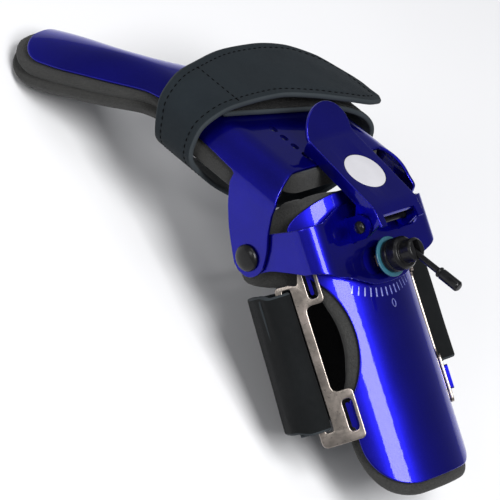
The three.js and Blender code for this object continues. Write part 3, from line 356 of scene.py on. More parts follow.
def combine(base, data, matrix, operation="DIFFERENCE", material=None):
    """Cuts, or joins on, a solid given in the piece's own frame."""
    tool = raw_object(data, matrix, [material] if material else [])
    mend_normals(tool.data, 0)
    mod = base.modifiers.new("cut", "BOOLEAN")
    mod.operation = operation
    mod.solver = "EXACT"
    mod.object = tool
    if material:
        mod.material_mode = "TRANSFER"
    keep_result(base)
    bpy.data.objects.remove(tool)


def round_edges(base, width, segments):
    mod = base.modifiers.new("edge", "BEVEL")
    mod.width = width * 0.001
    mod.segments = segments
    mod.limit_method = "ANGLE"
    mod.angle_limit = math.radians(50)
    mod.harden_normals = False
    keep_result(base)


def finish_piece(made, name, body, nodes=(), angle=35):
    """Names a piece, gives it its body and hides the nodes that it stands for."""
    made.name = name
    made.data.name = name
    mend_normals(made.data, angle)
    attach(made, body)
    if nodes:
        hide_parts(*nodes)


# Materials

class Nodes:
    """Short words for a material's nodes."""

    def __init__(self, name):
        self.material = bpy.data.materials.new(name)
        self.material.use_nodes = True
        self.tree = self.material.node_tree
        self.shader = self.tree.nodes["Principled BSDF"]

    def add(self, kind, **settings):
        node = self.tree.nodes.new(kind)
        for key, value in settings.items():
            setattr(node, key, value)
        return node

    def link(self, source, target):
        self.tree.links.new(source, target)

    def values(self, **sockets):
        for key, value in sockets.items():
            self.shader.inputs[key.replace("_", " ")].default_value = value

    def place(self, use_uv=False):
        if use_uv:
            return self.add("ShaderNodeUVMap", uv_map="Flat").outputs["UV"]
        return self.add("ShaderNodeTexCoord").outputs["Object"]

    def noise(self, scale, detail=2.0, rough=0.5, where=None):
        where = where or self.place()
        node = self.add("ShaderNodeTexNoise")
        node.inputs["Scale"].default_value = scale
        node.inputs["Detail"].default_value = detail
        node.inputs["Roughness"].default_value = rough
        self.link(where, node.inputs["Vector"])
        return node.outputs["Fac"]

    def cells(self, scale, where=None, output="Distance"):
        node = self.add("ShaderNodeTexVoronoi")
        node.inputs["Scale"].default_value = scale
        self.link(where or self.place(), node.inputs["Vector"])
        return node.outputs[output]

    def ramp(self, factor, stops):
        node = self.add("ShaderNodeValToRGB")
        elements = node.color_ramp.elements
        while len(elements) < len(stops):
            elements.new(0.5)
        for element, (at, colour) in zip(elements, stops):
            element.position = at
            element.color = (*colour, 1.0)
        self.link(factor, node.inputs["Fac"])
        return node.outputs["Color"]

    def span(self, factor, low, high, start=0.0, end=1.0):
        node = self.add("ShaderNodeMapRange")
        for key, value in (("From Min", start), ("From Max", end), ("To Min", low), ("To Max", high)):
            node.inputs[key].default_value = value
        self.link(factor, node.inputs["Value"])
        return node.outputs["Result"]

    def maths(self, operation, a, b):
        node = self.add("ShaderNodeMath", operation=operation)
        for socket, value in zip(node.inputs, (a, b)):
            if isinstance(value, (int, float)):
                socket.default_value = value
            else:
                self.link(value, socket)
        return node.outputs["Value"]

    def bump(self, height, distance, strength=1.0, into="Normal", after=None):
        node = self.add("ShaderNodeBump")
        node.inputs["Distance"].default_value = distance
        node.inputs["Strength"].default_value = strength
        self.link(height, node.inputs["Height"])
        if after is not None:
            self.link(after, node.inputs["Normal"])
        if into:
            self.link(node.outputs["Normal"], self.shader.inputs[into])
        return node.outputs["Normal"]

    def colour(self, output):
        self.link(output, self.shader.inputs["Base Color"])

    def roughness(self, output):
        self.link(output, self.shader.inputs["Roughness"])


DEEP_BLUE = (0.0035, 0.003, 0.20)
WEAVE = 0.00055           # one thread of the cloth, in metres
WEAVE_DEPTH = 0.00006
PORE_DEPTH = 0.00022


def blue_paint():
    n = Nodes("candy_blue_paint")
    n.values(Metallic=0.95, Coat_Weight=1.0, Coat_Roughness=0.04, Coat_IOR=1.28,
             Specular_Tint=(0.25, 0.25, 1.0, 1.0))
    flakes = n.cells(3200, output="Color")
    tone = n.ramp(n.noise(28, 3), [(0.3, DEEP_BLUE), (0.7, (0.006, 0.005, 0.28))])
    spark = n.ramp(n.cells(2100), [(0.0, (0.03, 0.03, 0.55)), (0.28, DEEP_BLUE)])
    mix = n.add("ShaderNodeMix", data_type="RGBA", blend_type="LIGHTEN")
    mix.inputs["Factor"].default_value = 0.55
    n.link(tone, mix.inputs["A"])
    n.link(spark, mix.inputs["B"])
    n.colour(mix.outputs["Result"])
    n.roughness(n.span(n.noise(60, 2), 0.30, 0.38))
    grey = n.add("ShaderNodeRGBToBW")
    n.link(flakes, grey.inputs["Color"])
    n.bump(grey.outputs["Val"], 0.00002, 0.25)
    n.bump(n.noise(420, 2), 0.00003, 0.6, into="Coat Normal")
    return n.material


def zinc(name, low, mid, high, rough):
    n = Nodes(name)
    n.values(Metallic=1.0)
    cloudy = n.noise(95, 4, 0.6)
    n.colour(n.ramp(cloudy, [(0.28, low), (0.5, mid), (0.72, high)]))
    n.roughness(n.span(n.noise(700, 4, 0.7), rough, rough + 0.2))
    n.bump(n.noise(1300, 4), 0.00004, 0.35)
    return n.material


def foam_material(name, dark, light):
    n = Nodes(name)
    n.values(Specular_IOR_Level=0.25, Sheen_Weight=0.08, Sheen_Roughness=0.6)
    grain = n.maths("ADD", n.span(n.noise(1500, 4, 0.85), -0.9, 0.9), n.span(n.noise(90, 2), 0.35, 0.65))
    n.colour(n.ramp(grain, [(0.15, dark), (0.85, light)]))
    n.roughness(n.span(n.noise(800, 2), 0.82, 0.98))
    pores = n.bump(n.cells(1300), PORE_DEPTH, 0.55, into=None)
    n.bump(n.noise(2600, 4, 0.7), PORE_DEPTH * 0.8, 0.5, after=pores)
    return n.material


def cloth_material(name, dark, light, sheen):
    """Close-woven cloth, with its weave laid along the strip's own flat places."""
    n = Nodes(name)
    n.values(Specular_IOR_Level=0.15, Sheen_Weight=sheen, Sheen_Roughness=0.45)
    split = n.add("ShaderNodeSeparateXYZ")
    n.link(n.place(use_uv=True), split.inputs["Vector"])
    wave = 2 * math.pi / WEAVE
    threads = [n.maths("SINE", n.maths("MULTIPLY", split.outputs[way], wave), 0.0) for way in "XY"]
    woven = n.maths("MULTIPLY", *threads)
    speckle = n.maths("ADD", n.span(woven, 0.3, 0.7, -1, 1), n.span(n.noise(2400, 4, 0.8), -0.35, 0.35))
    patchy = n.maths("ADD", speckle, n.span(n.noise(45, 3), -0.35, 0.35))
    n.colour(n.ramp(patchy, [(0.15, dark), (0.85, light)]))
    n.roughness(n.span(n.noise(300, 2), 0.78, 0.95))
    first = n.bump(woven, WEAVE_DEPTH, 0.5, into=None)
    second = n.bump(n.noise(3000, 3, 0.8), WEAVE_DEPTH * 0.5, 0.4, into=None, after=first)
    n.bump(n.noise(60, 2), WEAVE_DEPTH * 4, 0.25, after=second)
    return n.material


def loop_material():
    """Brushed loops of a touch fastener."""
    n = Nodes("fastener_loops")
    n.values(Specular_IOR_Level=0.15, Sheen_Weight=0.03, Sheen_Roughness=0.35)
    where = n.place(use_uv=True)
    cells = n.cells(720, where=where)
    curls = n.noise(1300, 5, 0.85, where=where)
    fuzz = n.maths("ADD", n.span(cells, 0.0, 0.6, 0.0, 0.5), n.span(curls, 0.0, 0.6, 0.3, 0.7))
    n.colour(n.ramp(fuzz, [(0.3, (0.0002, 0.0002, 0.0003)), (0.9, (0.0050, 0.0052, 0.0058))]))
    n.roughness(n.span(curls, 0.6, 0.9))
    n.bump(fuzz, 0.0006, 1.0)
    return n.material


def mesh_lining():
    """Black open mesh, sewn to the foam's inner side."""
    n = Nodes("mesh_lining")
    n.values(Specular_IOR_Level=0.3)
    where = n.place()
    mapping = n.add("ShaderNodeMapping")
    mapping.inputs["Rotation"].default_value = (0.5, 0.3, 0.6)
    mapping.inputs["Scale"].default_value = (1.0, 0.55, 1.0)
    n.link(where, mapping.inputs["Vector"])
    cells = n.cells(430, where=mapping.outputs["Vector"])
    n.colour(n.ramp(cells, [(0.2, (0.30, 0.305, 0.32)), (0.5, (0.004, 0.004, 0.005))]))
    n.roughness(n.span(cells, 0.5, 0.9))
    n.bump(cells, 0.0008, 1.0)
    return n.material


def grained(name, stops, grain, finish, fine, depth, **sockets):
    """A surface whose colour varies with grain, its roughness with finish (noise, low, high) and its relief
    with fine noise of a depth."""
    n = Nodes(name)
    n.values(**sockets)
    n.colour(n.ramp(n.noise(grain, 3), stops))
    n.roughness(n.span(n.noise(*finish[0]), *finish[1:]))
    n.bump(n.noise(fine, 3), depth, 0.4)
    return n.material


def plain(name, low, high, rough, scale, **sockets):
    finish = ((scale * 2, 3), rough, rough + 0.12)
    return grained(name, [(0.3, low), (0.7, high)], scale, finish, scale * 4, 0.00003, **sockets)


paint = blue_paint()
gloss = grained("black_gloss_metal", [(0.3, (0.0025, 0.0025, 0.003)), (0.75, (0.007, 0.007, 0.0075))], 300,
                ((900, 4), 0.22, 0.40), 1500, 0.00003,
                Specular_IOR_Level=0.18, Coat_Weight=0.25, Coat_Roughness=0.08, Coat_IOR=1.3)
zinc_plate = zinc("zinc_plate", (0.17, 0.150, 0.135), (0.29, 0.255, 0.225), (0.43, 0.365, 0.33), 0.20)
yellow_zinc = zinc("yellow_zinc_plate", (0.50, 0.34, 0.14), (0.70, 0.52, 0.20), (0.62, 0.46, 0.36), 0.22)
foam_dark = foam_material("charcoal_foam", (0.0065, 0.0065, 0.0062), (0.036, 0.036, 0.034))
skin = grained("foam_skin", [(0.3, (0.050, 0.058, 0.056)), (0.7, (0.085, 0.096, 0.093))], 40,
               ((500, 3), 0.55, 0.72), 1400, 0.00008, Specular_IOR_Level=0.35)
lining = mesh_lining()
strap_cloth = cloth_material("forearm_strap_cloth", (0.0018, 0.0023, 0.0026), (0.0052, 0.0063, 0.0070), 0.01)
hand_cloth = cloth_material("hand_strap_cloth", (0.0065, 0.0095, 0.0122), (0.0120, 0.0168, 0.0208), 0.02)
binding = cloth_material("strap_cut_edge", (0.016, 0.020, 0.023), (0.034, 0.041, 0.046), 0.02)
loops = loop_material()
thread = plain("black_thread", (0.0004, 0.0004, 0.0005), (0.0015, 0.0015, 0.0018), 0.8, 900,
               Specular_IOR_Level=0.05)
tick_metal = plain("engraved_metal", (0.22, 0.24, 0.50), (0.42, 0.44, 0.72), 0.3, 700, Metallic=0.7)
label_film = plain("label_film", (0.46, 0.455, 0.48), (0.50, 0.495, 0.52), 0.30, 120, Coat_Weight=0.5,
                   Coat_Roughness=0.15)
teal = plain("teal_washer", (0.012, 0.070, 0.105), (0.022, 0.105, 0.145), 0.35, 300, Coat_Weight=0.3)


# Forearm shell

SHELL_COLUMNS, PAD_COLUMNS = 81, 95
ROW_STEP = 1.8


def shell_half_angle(y, margin):
    arc = 180 / (math.pi * SHELL_RADIUS)
    y = np.asarray(y, float)
    angle = np.full_like(y, SHELL_ANGLE + margin * arc)
    corner = SHELL_CORNER + margin
    t = np.clip((-(SHELL_REAR + margin) + corner - y) / corner, 0, 1)
    angle = angle - corner * arc * (1 - np.sqrt(1 - t * t))
    off = (y + BITE_CENTRE) / (BITE_LENGTH / 2 - margin * 0.4)
    bite = np.where(np.abs(off) < 1, np.maximum(1 - off * off, 0) ** 0.8, 0)
    return angle - (BITE_ANGLE - margin * 0.2) * bite


def tongue_half_angle(y):
    t = np.clip(np.asarray(y, float) / TONGUE_LENGTH, 0, 1)
    half = TONGUE_WIDTH / 2 * (1 - t**2.4) ** 0.6 + 9 * t
    return np.degrees(np.arcsin(np.minimum(half / SHELL_RADIUS, 1)))


def shell_point(angle, y, depth=0.0):
    turn = np.radians(angle)
    reach = SHELL_RADIUS - depth
    level = SHELL_TOP - SHELL_RADIUS
    return np.stack([reach * np.sin(turn), y + 0 * turn, level + reach * np.cos(turn)], -1)


def row_places(rear, front, corner, step, corner_steps=16):
    near = rear + corner * (1 - np.cos(np.linspace(0, math.pi / 2, corner_steps + 1)))
    count = int(round((front - rear - corner) / step))
    return np.concatenate([near, np.linspace(rear + corner, front, count + 1)[1:]])


def shell_grid():
    shares = 1 - (1 - np.linspace(0, 1, 15)[1:]) ** 1.8
    rows = np.concatenate([row_places(-SHELL_REAR + METAL_ROUND, 0, SHELL_CORNER, ROW_STEP),
                           shares * (TONGUE_LENGTH - METAL_ROUND)])
    half = np.minimum(shell_half_angle(rows, -METAL_ROUND), SHELL_ANGLE)
    mixed = lerp(half, tongue_half_angle(0), ease(-14, 0, rows))
    half = np.where(rows > 0, tongue_half_angle(rows), mixed)
    angle = half[:, None] * np.linspace(-1, 1, SHELL_COLUMNS)
    return shell_point(angle, np.broadcast_to(rows[:, None], angle.shape))


def buckle_frame(side):
    slope = math.radians(BUCKLE_SLOPE[side])
    down = Vector((side * math.cos(slope), 0, -math.sin(slope)))
    out = Vector((side * math.sin(slope), 0, math.cos(slope)))
    seat = shell_point(np.float64(side * (SHELL_ANGLE - 3.5)), 0.0, -GAP)
    origin = Vector(seat) - down * 1.5
    return down, out, origin


def buckle_matrix(side):
    down, out, origin = buckle_frame(side)
    m = Matrix.Identity(4)
    m.col[0][:3] = down
    m.col[1][:3] = (0, 1, 0)
    m.col[2][:3] = out
    m.col[3][:3] = origin
    return m


TABS = (-TAB_FRONT - FRONT_TAB / 2, -BUCKLE_REAR + REAR_TAB / 2)


TICK_RING = YOKE_REAR + TILT_PIVOT + 1.6 + TICK_LENGTH / 2
ZERO_PLACE, ZERO_HALF, ZERO_TALL, ZERO_INNER, ZERO_SIDES = (-0.5, -38.6), 1.25, 2.0, 0.62, 28


def shell_tabs(side):
    """The two tabs that pass through a buckle."""
    tabs = []
    for middle in TABS:
        outline = [(y + HOOK_SLOT_START + HOOK_SLOT_WIDTH / 2, x)
                   for x, y in slot_outline(HOOK_SLOT_LENGTH - 3, METAL * 0.999, middle, 0)]
        tabs.append(placed(prism(outline, -METAL * 0.8, HOOK_TAB - METAL * 0.3), buckle_matrix(side)))
    return tabs


def tick_marks():
    """Cutters of the tick scale, on an arc round the tilt's pivot."""
    cutters = []
    for k in range(TICK_COUNT):
        turn = math.radians((k - (TICK_COUNT - 1) / 2) * TICK_ANGLE)
        x, y = TICK_RING * math.sin(turn), TILT_PIVOT - TICK_RING * math.cos(turn)
        z = SHELL_TOP - SHELL_RADIUS + math.sqrt(SHELL_RADIUS**2 - x**2)
        m = (Matrix.Translation((x, y, z)) @ Matrix.Rotation(turn, 4, "Z")
             @ Matrix.Rotation(math.asin(x / SHELL_RADIUS), 4, "Y"))
        tick = prism(slot_outline(TICK_LENGTH, TICK_WIDTH, 0, 0, True, 6), -TICK_DEPTH, 1)
        cutters.append(placed(tick, m))
    return joined(*cutters)


def zero_mark():
    """Cutter of the scale's 0, an upright ring."""
    turns = [2 * math.pi * k / ZERO_SIDES for k in range(ZERO_SIDES)]
    rings = []
    for grow in (1.0, ZERO_INNER):
        tall = ZERO_TALL - ZERO_HALF * (1 - grow)
        rings.append([(ZERO_PLACE[0] + ZERO_HALF * grow * math.cos(a), ZERO_PLACE[1] + tall * math.sin(a))
                      for a in turns])
    level = SHELL_TOP - TICK_DEPTH
    verts = [(x, y, z) for z in (level, level + 2) for ring in rings for x, y in ring]
    faces = []
    n = ZERO_SIDES
    for k in range(n):
        m = (k + 1) % n
        faces += [(k, n + k, n + m, m), (2 * n + k, 2 * n + m, 3 * n + m, 3 * n + k),
                  (k, m, 2 * n + m, 2 * n + k), (n + k, 3 * n + k, 3 * n + m, n + m)]
    return np.array(verts, float), faces


def make_shell():
    made = raw_object(sheet(shell_grid(), METAL, METAL_ROUND), FOREARM, [paint, tick_metal])
    for side in (-1, 1):
        for tab in shell_tabs(side):
            combine(made, tab, FOREARM, "UNION")
    combine(made, tick_marks(), FOREARM, "DIFFERENCE", tick_metal)
    combine(made, zero_mark(), FOREARM, "DIFFERENCE", tick_metal)
    hole = placed(prism(circle(STUD_RADIUS + GAP), -6, 6), Matrix.Translation((0, -LOCK_BACK, SHELL_TOP)))
    combine(made, hole, FOREARM)
    finish_piece(made, "painted_shell", "forearm", ["forearm_shell"])


PAD_LIP = 1.5      # the soft front edge bulges ahead of the flat pad at both shoulders
LIP_START = (12.0, 30.0)
LIP_FADE = (48.0, 66.0)


def make_forearm_pad():
    margin = PAD_MARGIN - FOAM_ROUND
    front = PAD_FRONT - FOAM_ROUND
    rows = np.concatenate([row_places(-(SHELL_REAR + margin), -20, SHELL_CORNER + margin, ROW_STEP),
                           np.linspace(-18.6, front, 27)])
    base = shell_half_angle(rows, margin)
    wing = np.minimum(ease(-WING_REAR - 4, -WING_REAR + 9, rows), 1 - ease(WING_FRONT - 6, PAD_FRONT, rows))
    half = base + (WING_ANGLE - base - 2.5) * wing
    angle = half[:, None] * np.linspace(-1, 1, PAD_COLUMNS)
    inset = WING_INSET * ease(SHELL_ANGLE - 8, SHELL_ANGLE + 10, np.abs(angle))
    lip = PAD_LIP * ease(0, front, rows)[:, None] * ease(*LIP_START, np.abs(angle))
    lip = lip * (1 - ease(*LIP_FADE, np.abs(angle)))
    grid = shell_point(angle, rows[:, None] + lip, METAL + GAP + inset)
    data = sheet(grid, FOAM, FOAM_ROUND, 5)
    made = raw_object(data, FOREARM, [foam_dark, lining], np.array(data[3]) // 2)
    foot = SHELL_TOP - METAL - GAP - 0.5 - 1.2
    pocket = prism(circle(NUT_RADIUS + GAP), foot - GAP, foot + 6)
    combine(made, placed(pocket, Matrix.Translation((0, -LOCK_BACK, 0))), FOREARM)
    finish_piece(made, "forearm_foam", "forearm", ["forearm_pad"], 60)


# Buckles

def rounded_polygon(corners, steps=6):
    points = []
    count = len(corners)
    for k, (x, y, r) in enumerate(corners):
        here = Vector((x, y))
        back = (Vector(corners[k - 1][:2]) - here)
        on = (Vector(corners[(k + 1) % count][:2]) - here)
        half = abs(math.atan2(back.cross(on), back.dot(on))) / 2
        cut = r / math.tan(half)
        start, end = here + back.normalized() * cut, here + on.normalized() * cut
        for s in range(steps + 1):
            t = s / steps
            points.append(start * (1 - t) ** 2 + here * 2 * t * (1 - t) + end * t * t)
    return points


RAIL_END = RAIL_START + RAIL_WIDTH
BAR_START = RAIL_END + STRAP_SLOT
BAR_END = BAR_START + BAR_WIDTH


def rectangle(t0, t1, y0, y1, r):
    return [(t0, y0, r), (t1, y0, r), (t1, y1, r), (t0, y1, r)]


def make_buckle(side, name, node):
    slot_front = STRAP_CENTRE - FOREARM_STRAP / 2 - SLOT_PLAY
    slot_rear = STRAP_CENTRE + FOREARM_STRAP / 2 + SLOT_PLAY
    loops_2d = [[
        (0, -BUCKLE_REAR, 2.5), (BAR_END, -BUCKLE_REAR, 3.2), (BAR_END, -BUCKLE_FRONT - 1.1, 2.4),
        (RAIL_END, -BUCKLE_FRONT - 1.5, 1), (RAIL_START + 0.8, -BUCKLE_FRONT - 2.9, 1.4),
        (RAIL_START - 2.4, -TAB_FRONT, 2), (0, -TAB_FRONT, 2.5),
        (0, -TAB_FRONT - FRONT_TAB, 2.5), (RAIL_START, -TAB_FRONT - FRONT_TAB, 3.2),
        (RAIL_START, -BUCKLE_REAR + REAR_TAB, 3.2), (0, -BUCKLE_REAR + REAR_TAB, 2.5),
    ]]
    for middle in TABS:
        loops_2d.append(rectangle(HOOK_SLOT_START, HOOK_SLOT_START + HOOK_SLOT_WIDTH,
                                  middle - HOOK_SLOT_LENGTH / 2, middle + HOOK_SLOT_LENGTH / 2, 2.0))
    loops_2d.append(rectangle(RAIL_END, BAR_START, -slot_rear, -slot_front, 0.9))
    curve = bpy.data.curves.new("outline", "CURVE")
    curve.dimensions = "2D"
    curve.fill_mode = "BOTH"
    curve.bevel_depth = BUCKLE_ROUND
    curve.bevel_resolution = 3
    curve.offset = -BUCKLE_ROUND
    curve.extrude = BUCKLE_THICK / 2 - BUCKLE_ROUND
    for loop in loops_2d:
        points = rounded_polygon(loop)
        spline = curve.splines.new("POLY")
        spline.points.add(len(points) - 1)
        for point, place in zip(spline.points, points):
            point.co = (place.x, place.y, 0, 1)
        spline.use_cyclic_u = True
    shape = new_object("outline", curve)
    deps = bpy.context.evaluated_depsgraph_get()
    mesh = bpy.data.meshes.new_from_object(shape.evaluated_get(deps))
    bpy.data.objects.remove(shape)
    mesh.transform(TO_METRES @ FOREARM @ buckle_matrix(side) @ Matrix.Translation((0, 0, BUCKLE_THICK / 2)))
    mesh.materials.clear()
    mesh.materials.append(zinc_plate)
    b = bmesh.new()
    b.from_mesh(mesh)
    bmesh.ops.remove_doubles(b, verts=b.verts, dist=WELD)
    b.to_mesh(mesh)
    b.free()
    finish_piece(new_object(name, mesh), name, "forearm", [node], 40)


# Straps

def strap_side_normals(places):
    along = np.gradient(places, axis=0)
    along = along / np.linalg.norm(along, axis=1)[:, None]
    return np.stack([-along[:, 1], along[:, 0]], 1)


def strap_grid(places, rear, front, offset, columns, wave):
    """The outer face of a gently waving strip: columns across its width, one row for each station."""
    normal = strap_side_normals(places)
    share = np.linspace(0, 1, columns)
    y = rear[:, None] + (front - rear)[:, None] * share
    x = places[:, 0:1] + normal[:, 0:1] * offset + 0 * y
    z = places[:, 1:2] + normal[:, 1:2] * offset + 0 * y
    grid = np.stack([x, y, z], -1)
    at = np.arange(len(places))[:, None] / len(places)
    lift = wave * np.sin(at * 61 + share * 3) * np.sin(at * 23 + share * 5)
    grid[..., 0] += normal[:, 0:1] * lift
    grid[..., 2] += normal[:, 1:2] * lift
    return grid


STITCH_PITCH, STITCH_LENGTH, STITCH_RADIUS, STITCH_RINGS = 3.3, 2.1, 0.28, 5
STITCH_SECTION = (0, math.pi / 3, 2 * math.pi / 3, math.pi, 1.5 * math.pi)


def stitches(grid, lines):
    """Short stitches along lines of a grid, each line a list of (row, column) places."""
    normal = grid_normals(grid)
    parts = []

    def read(field, row, column):
        r0, c0 = min(int(row), field.shape[0] - 2), min(int(column), field.shape[1] - 2)
        r, c = row - r0, column - c0
        return (field[r0, c0] * (1 - r) * (1 - c) + field[r0 + 1, c0] * r * (1 - c)
                + field[r0, c0 + 1] * (1 - r) * c + field[r0 + 1, c0 + 1] * r * c)

    for line in lines:
        dense = []
        for (r0, c0), (r1, c1) in zip(line, line[1:]):
            for k in range(8):
                dense.append((lerp(r0, r1, k / 8), lerp(c0, c1, k / 8)))
        dense.append(line[-1])
        places = np.array([read(grid, r, c) for r, c in dense])
        normals = unit(np.array([read(normal, r, c) for r, c in dense]))
        run = np.concatenate([[0], np.cumsum(np.linalg.norm(np.diff(places, axis=0), axis=1))])
        start = STITCH_PITCH / 2
        while start + STITCH_LENGTH < run[-1]:
            rings = []
            for k in range(STITCH_RINGS):
                at = start + STITCH_LENGTH * k / (STITCH_RINGS - 1)
                p = np.array([np.interp(at, run, places[:, a]) for a in range(3)])
                q = unit(np.array([np.interp(at, run, normals[:, a]) for a in range(3)]))
                ahead = np.array([np.interp(at + 0.1, run, places[:, a]) for a in range(3)]) - p
                side = unit(np.cross(q, ahead))
                swell = math.sin(math.pi * (k + 0.35) / (STITCH_RINGS - 0.3))
                lift = 0.16 * swell - 0.05
                reach = STITCH_RADIUS * swell
                rings.append([p + q * (lift + reach * math.sin(a)) + side * reach * math.cos(a)
                              for a in STITCH_SECTION])
            faces = []
            for k in range(STITCH_RINGS - 1):
                for a in range(5):
                    b = (a + 1) % 5
                    faces.append((k * 5 + a, k * 5 + b, k * 5 + 5 + b, k * 5 + 5 + a))
            faces.append((4, 3, 2, 1, 0))
            faces.append(tuple(range(5 * STITCH_RINGS - 5, 5 * STITCH_RINGS)))
            parts.append((np.array(rings).reshape(-1, 3), faces))
            start += STITCH_PITCH
    return joined(*parts)


def strap_loop_points():
    radius = BUCKLE_THICK / 2 + WEBBING / 2 + 0.75
    centre = BAR_START - 0.5 - WEBBING / 2 + radius
    tight = [(3.4, -1), (1.3, -1), (0, -1), (-0.7, -0.7), (-1, 0), (-0.7, 0.72), (0, 1.05), (1.4, 1.05)]
    loose = [(3.4, -1), (1.3, -1), (0, -1), (-0.7, -0.7), (-1, 0), (-0.85, 1.1), (-0.35, 2.2), (0.8, 2.95),
             (2.2, 2.5), (3.1, 1.2)]

    def turned(side, table):
        down, out, origin = buckle_frame(side)
        found = [origin + down * (centre + t * radius) + out * (BUCKLE_THICK / 2 + n * radius)
                 for t, n in table]
        return [(p.x, p.z) for p in found]

    left, right = turned(-1, tight), turned(1, loose)[::-1]
    (lx, lz), rx = left[-1], right[0][0]
    under = -STRAP_BOTTOM + WEBBING / 2
    middle = [(lx - 1, lz - 5), (lx - 0.2, lz - 11), (lx + 5.2, lz - 19), (lx * 0.66, under + 6),
              (lx * 0.44, under + 0.3), (lx * 0.3, under), (0, under), (rx * 0.3, under), (rx * 0.52, under),
              (rx * 0.7, under + 3.5), (rx * 0.87, under + 13), (rx * 0.97, under + 24)]
    return left + middle + right


def settle(grid, lift):
    """Raises what is lower than lift above the surface, in a grid in the forearm's frame."""
    m = FOREARM
    level = m[2][1] * grid[..., 1] + m[2][2] * grid[..., 2] + m[2][3]
    short = np.maximum(lift - level, 0)
    grid[..., 1] += short * m[2][1]
    grid[..., 2] += short * m[2][2]


FOREARM_STATIONS, FOREARM_COLUMNS, FOREARM_WAVE = 288, 29, 0.12
STRAP_LIFT = 0.4      # the cloth's outer face lies this high, so that its rounded rim clears the surface


def make_forearm_strap():
    places, _ = catmull_rom(strap_loop_points(), FOREARM_STATIONS)
    share = np.linspace(0, 1, len(places))
    rear = -STRAP_CENTRE - FOREARM_STRAP / 2 + STRAP_TAPER * ease(0.57, 0.72, share)
    front = np.full(len(places), -STRAP_CENTRE + FOREARM_STRAP / 2)
    lean = STRAP_LEAN * ease(0.24, 0.3, share) * (1 - ease(0.38, 0.5, share))
    grid = strap_grid(places, rear + lean + CLOTH_ROUND, front + lean - CLOTH_ROUND, -WEBBING / 2,
                      FOREARM_COLUMNS, FOREARM_WAVE)
    tight = (ease(0.25, 0.31, share) * (1 - ease(0.4, 0.5, share)))[:, None]
    grid[..., 0] *= 1 - STRAP_CONE * tight * np.linspace(0, 1, FOREARM_COLUMNS)
    settle(grid, STRAP_LIFT)
    data = sheet(grid, WEBBING, CLOTH_ROUND, 3)
    made = raw_object(data, FOREARM, [strap_cloth, binding, loops], data[3], data[2])
    finish_piece(made, "forearm_strap_cloth", "forearm", ["forearm_strap"], 0)


# Yoke

def arch_section(half, top, corner, foot, wall_steps, corner_steps, top_steps):
    points = [(-half, lerp(foot, top - corner, k / wall_steps)) for k in range(wall_steps)]
    for k in range(corner_steps + 1):
        turn = math.pi / 2 * k / corner_steps
        points.append((-half + corner - corner * math.cos(turn), top - corner + corner * math.sin(turn)))
    for k in range(1, top_steps // 2 + 1):
        points.append(((-half + corner) * (1 - k / (top_steps // 2)), top))
    return np.array(points + [(-x, z) for x, z in points[-2::-1]])


def band_grid(section, rear, front, rows):
    share = np.linspace(0, 1, rows + 1)[:, None]
    y = rear[None, :] + (front - rear)[None, :] * share
    return np.stack([section[None, :, 0] + 0 * y, y, section[None, :, 1] + 0 * y], -1)


YOKE_WALL = {
    "rise": (-1.0, -0.85, -0.5, 0, 1.0, 2.2, 3.47),
    "rear": (0.1, 0.55, 0.87, 1.0, 1.08, 1.42, 1.85),
    "front": (0.1, 0.55, 0.87, 1.0, 0.95, 0.8, 0.62),
}
YOKE_CROWN = {
    "across": (0, 0.22, 0.4, 0.58, 0.76, 1.0),
    "rear": (1.0, 0.975, 0.87, 0.76, 0.68, 0.525),
    "front": (1.0, 1.0, 0.97, 0.72, 0.46, 0.5),
}


def arm_reach(rise, reach):
    """The rounded end of an arm below its rivet."""
    return reach * np.sqrt(np.maximum(1 - np.minimum(rise, 0) ** 2, 0.0))


def make_yoke():
    section = arch_section(YOKE_HALF, YOKE_TOP, YOKE_CORNER, -ARM_RADIUS + METAL_ROUND, 40, 12, 60)
    rise = section[:, 1] / ARM_RADIUS
    across = np.abs(section[:, 0]) / YOKE_HALF
    wall = section[:, 1] < YOKE_TOP - YOKE_CORNER
    reach = {}
    for key, size in (("rear", YOKE_REAR), ("front", YOKE_FRONT)):
        low = ARM_RADIUS * smooth_table(YOKE_WALL["rise"], YOKE_WALL[key], rise)
        low = np.where(rise < 0, arm_reach(rise, ARM_RADIUS), low)
        high = size * smooth_table(YOKE_CROWN["across"], YOKE_CROWN[key], across)
        reach[key] = np.where(wall, low, high) - METAL_ROUND
    grid = band_grid(section, -reach["rear"], reach["front"], 18)
    made = raw_object(sheet(grid, METAL, METAL_ROUND), FOREARM, [paint])
    ear_inner = LEVER_HALF + GAP
    half = EAR_WIDTH / 2
    outline = [(PIN_FORWARD - half - 1.2, YOKE_TOP - 0.9), (PIN_FORWARD + half + 1.2, YOKE_TOP - 0.9),
               (PIN_FORWARD + half + 0.3, YOKE_TOP + 0.4), (PIN_FORWARD + half, YOKE_TOP + 1.4)]
    outline += [(PIN_FORWARD + half * math.cos(a), PIN_HEIGHT + half * math.sin(a))
                for a in np.linspace(0, math.pi, 25)]
    outline += [(PIN_FORWARD - half, YOKE_TOP + 1.4), (PIN_FORWARD - half - 0.3, YOKE_TOP + 0.4)]
    for side in (-1, 1):
        low = ear_inner if side > 0 else -ear_inner - METAL
        combine(made, prism(outline, low, low + METAL, "x"), FOREARM, "UNION")
    slot = prism(slot_outline(2 * SLOT_HALF, SLOT_WIDTH, 2, -LOCK_BACK + 0.4), YOKE_TOP - 4, YOKE_TOP + 4)
    rivets = [prism(circle(RIVET_SHANK / 2 + GAP), side * YOKE_HALF - 4, side * YOKE_HALF + 4, "x")
              for side in (-1, 1)]
    pin = prism(circle(PIN_RADIUS + GAP, PIN_FORWARD, PIN_HEIGHT), -30, 30, "x")
    combine(made, joined(slot, pin, *rivets), FOREARM)
    finish_piece(made, "painted_yoke", "wrist_yoke", ["yoke"])


# Hand plate with its finger extension

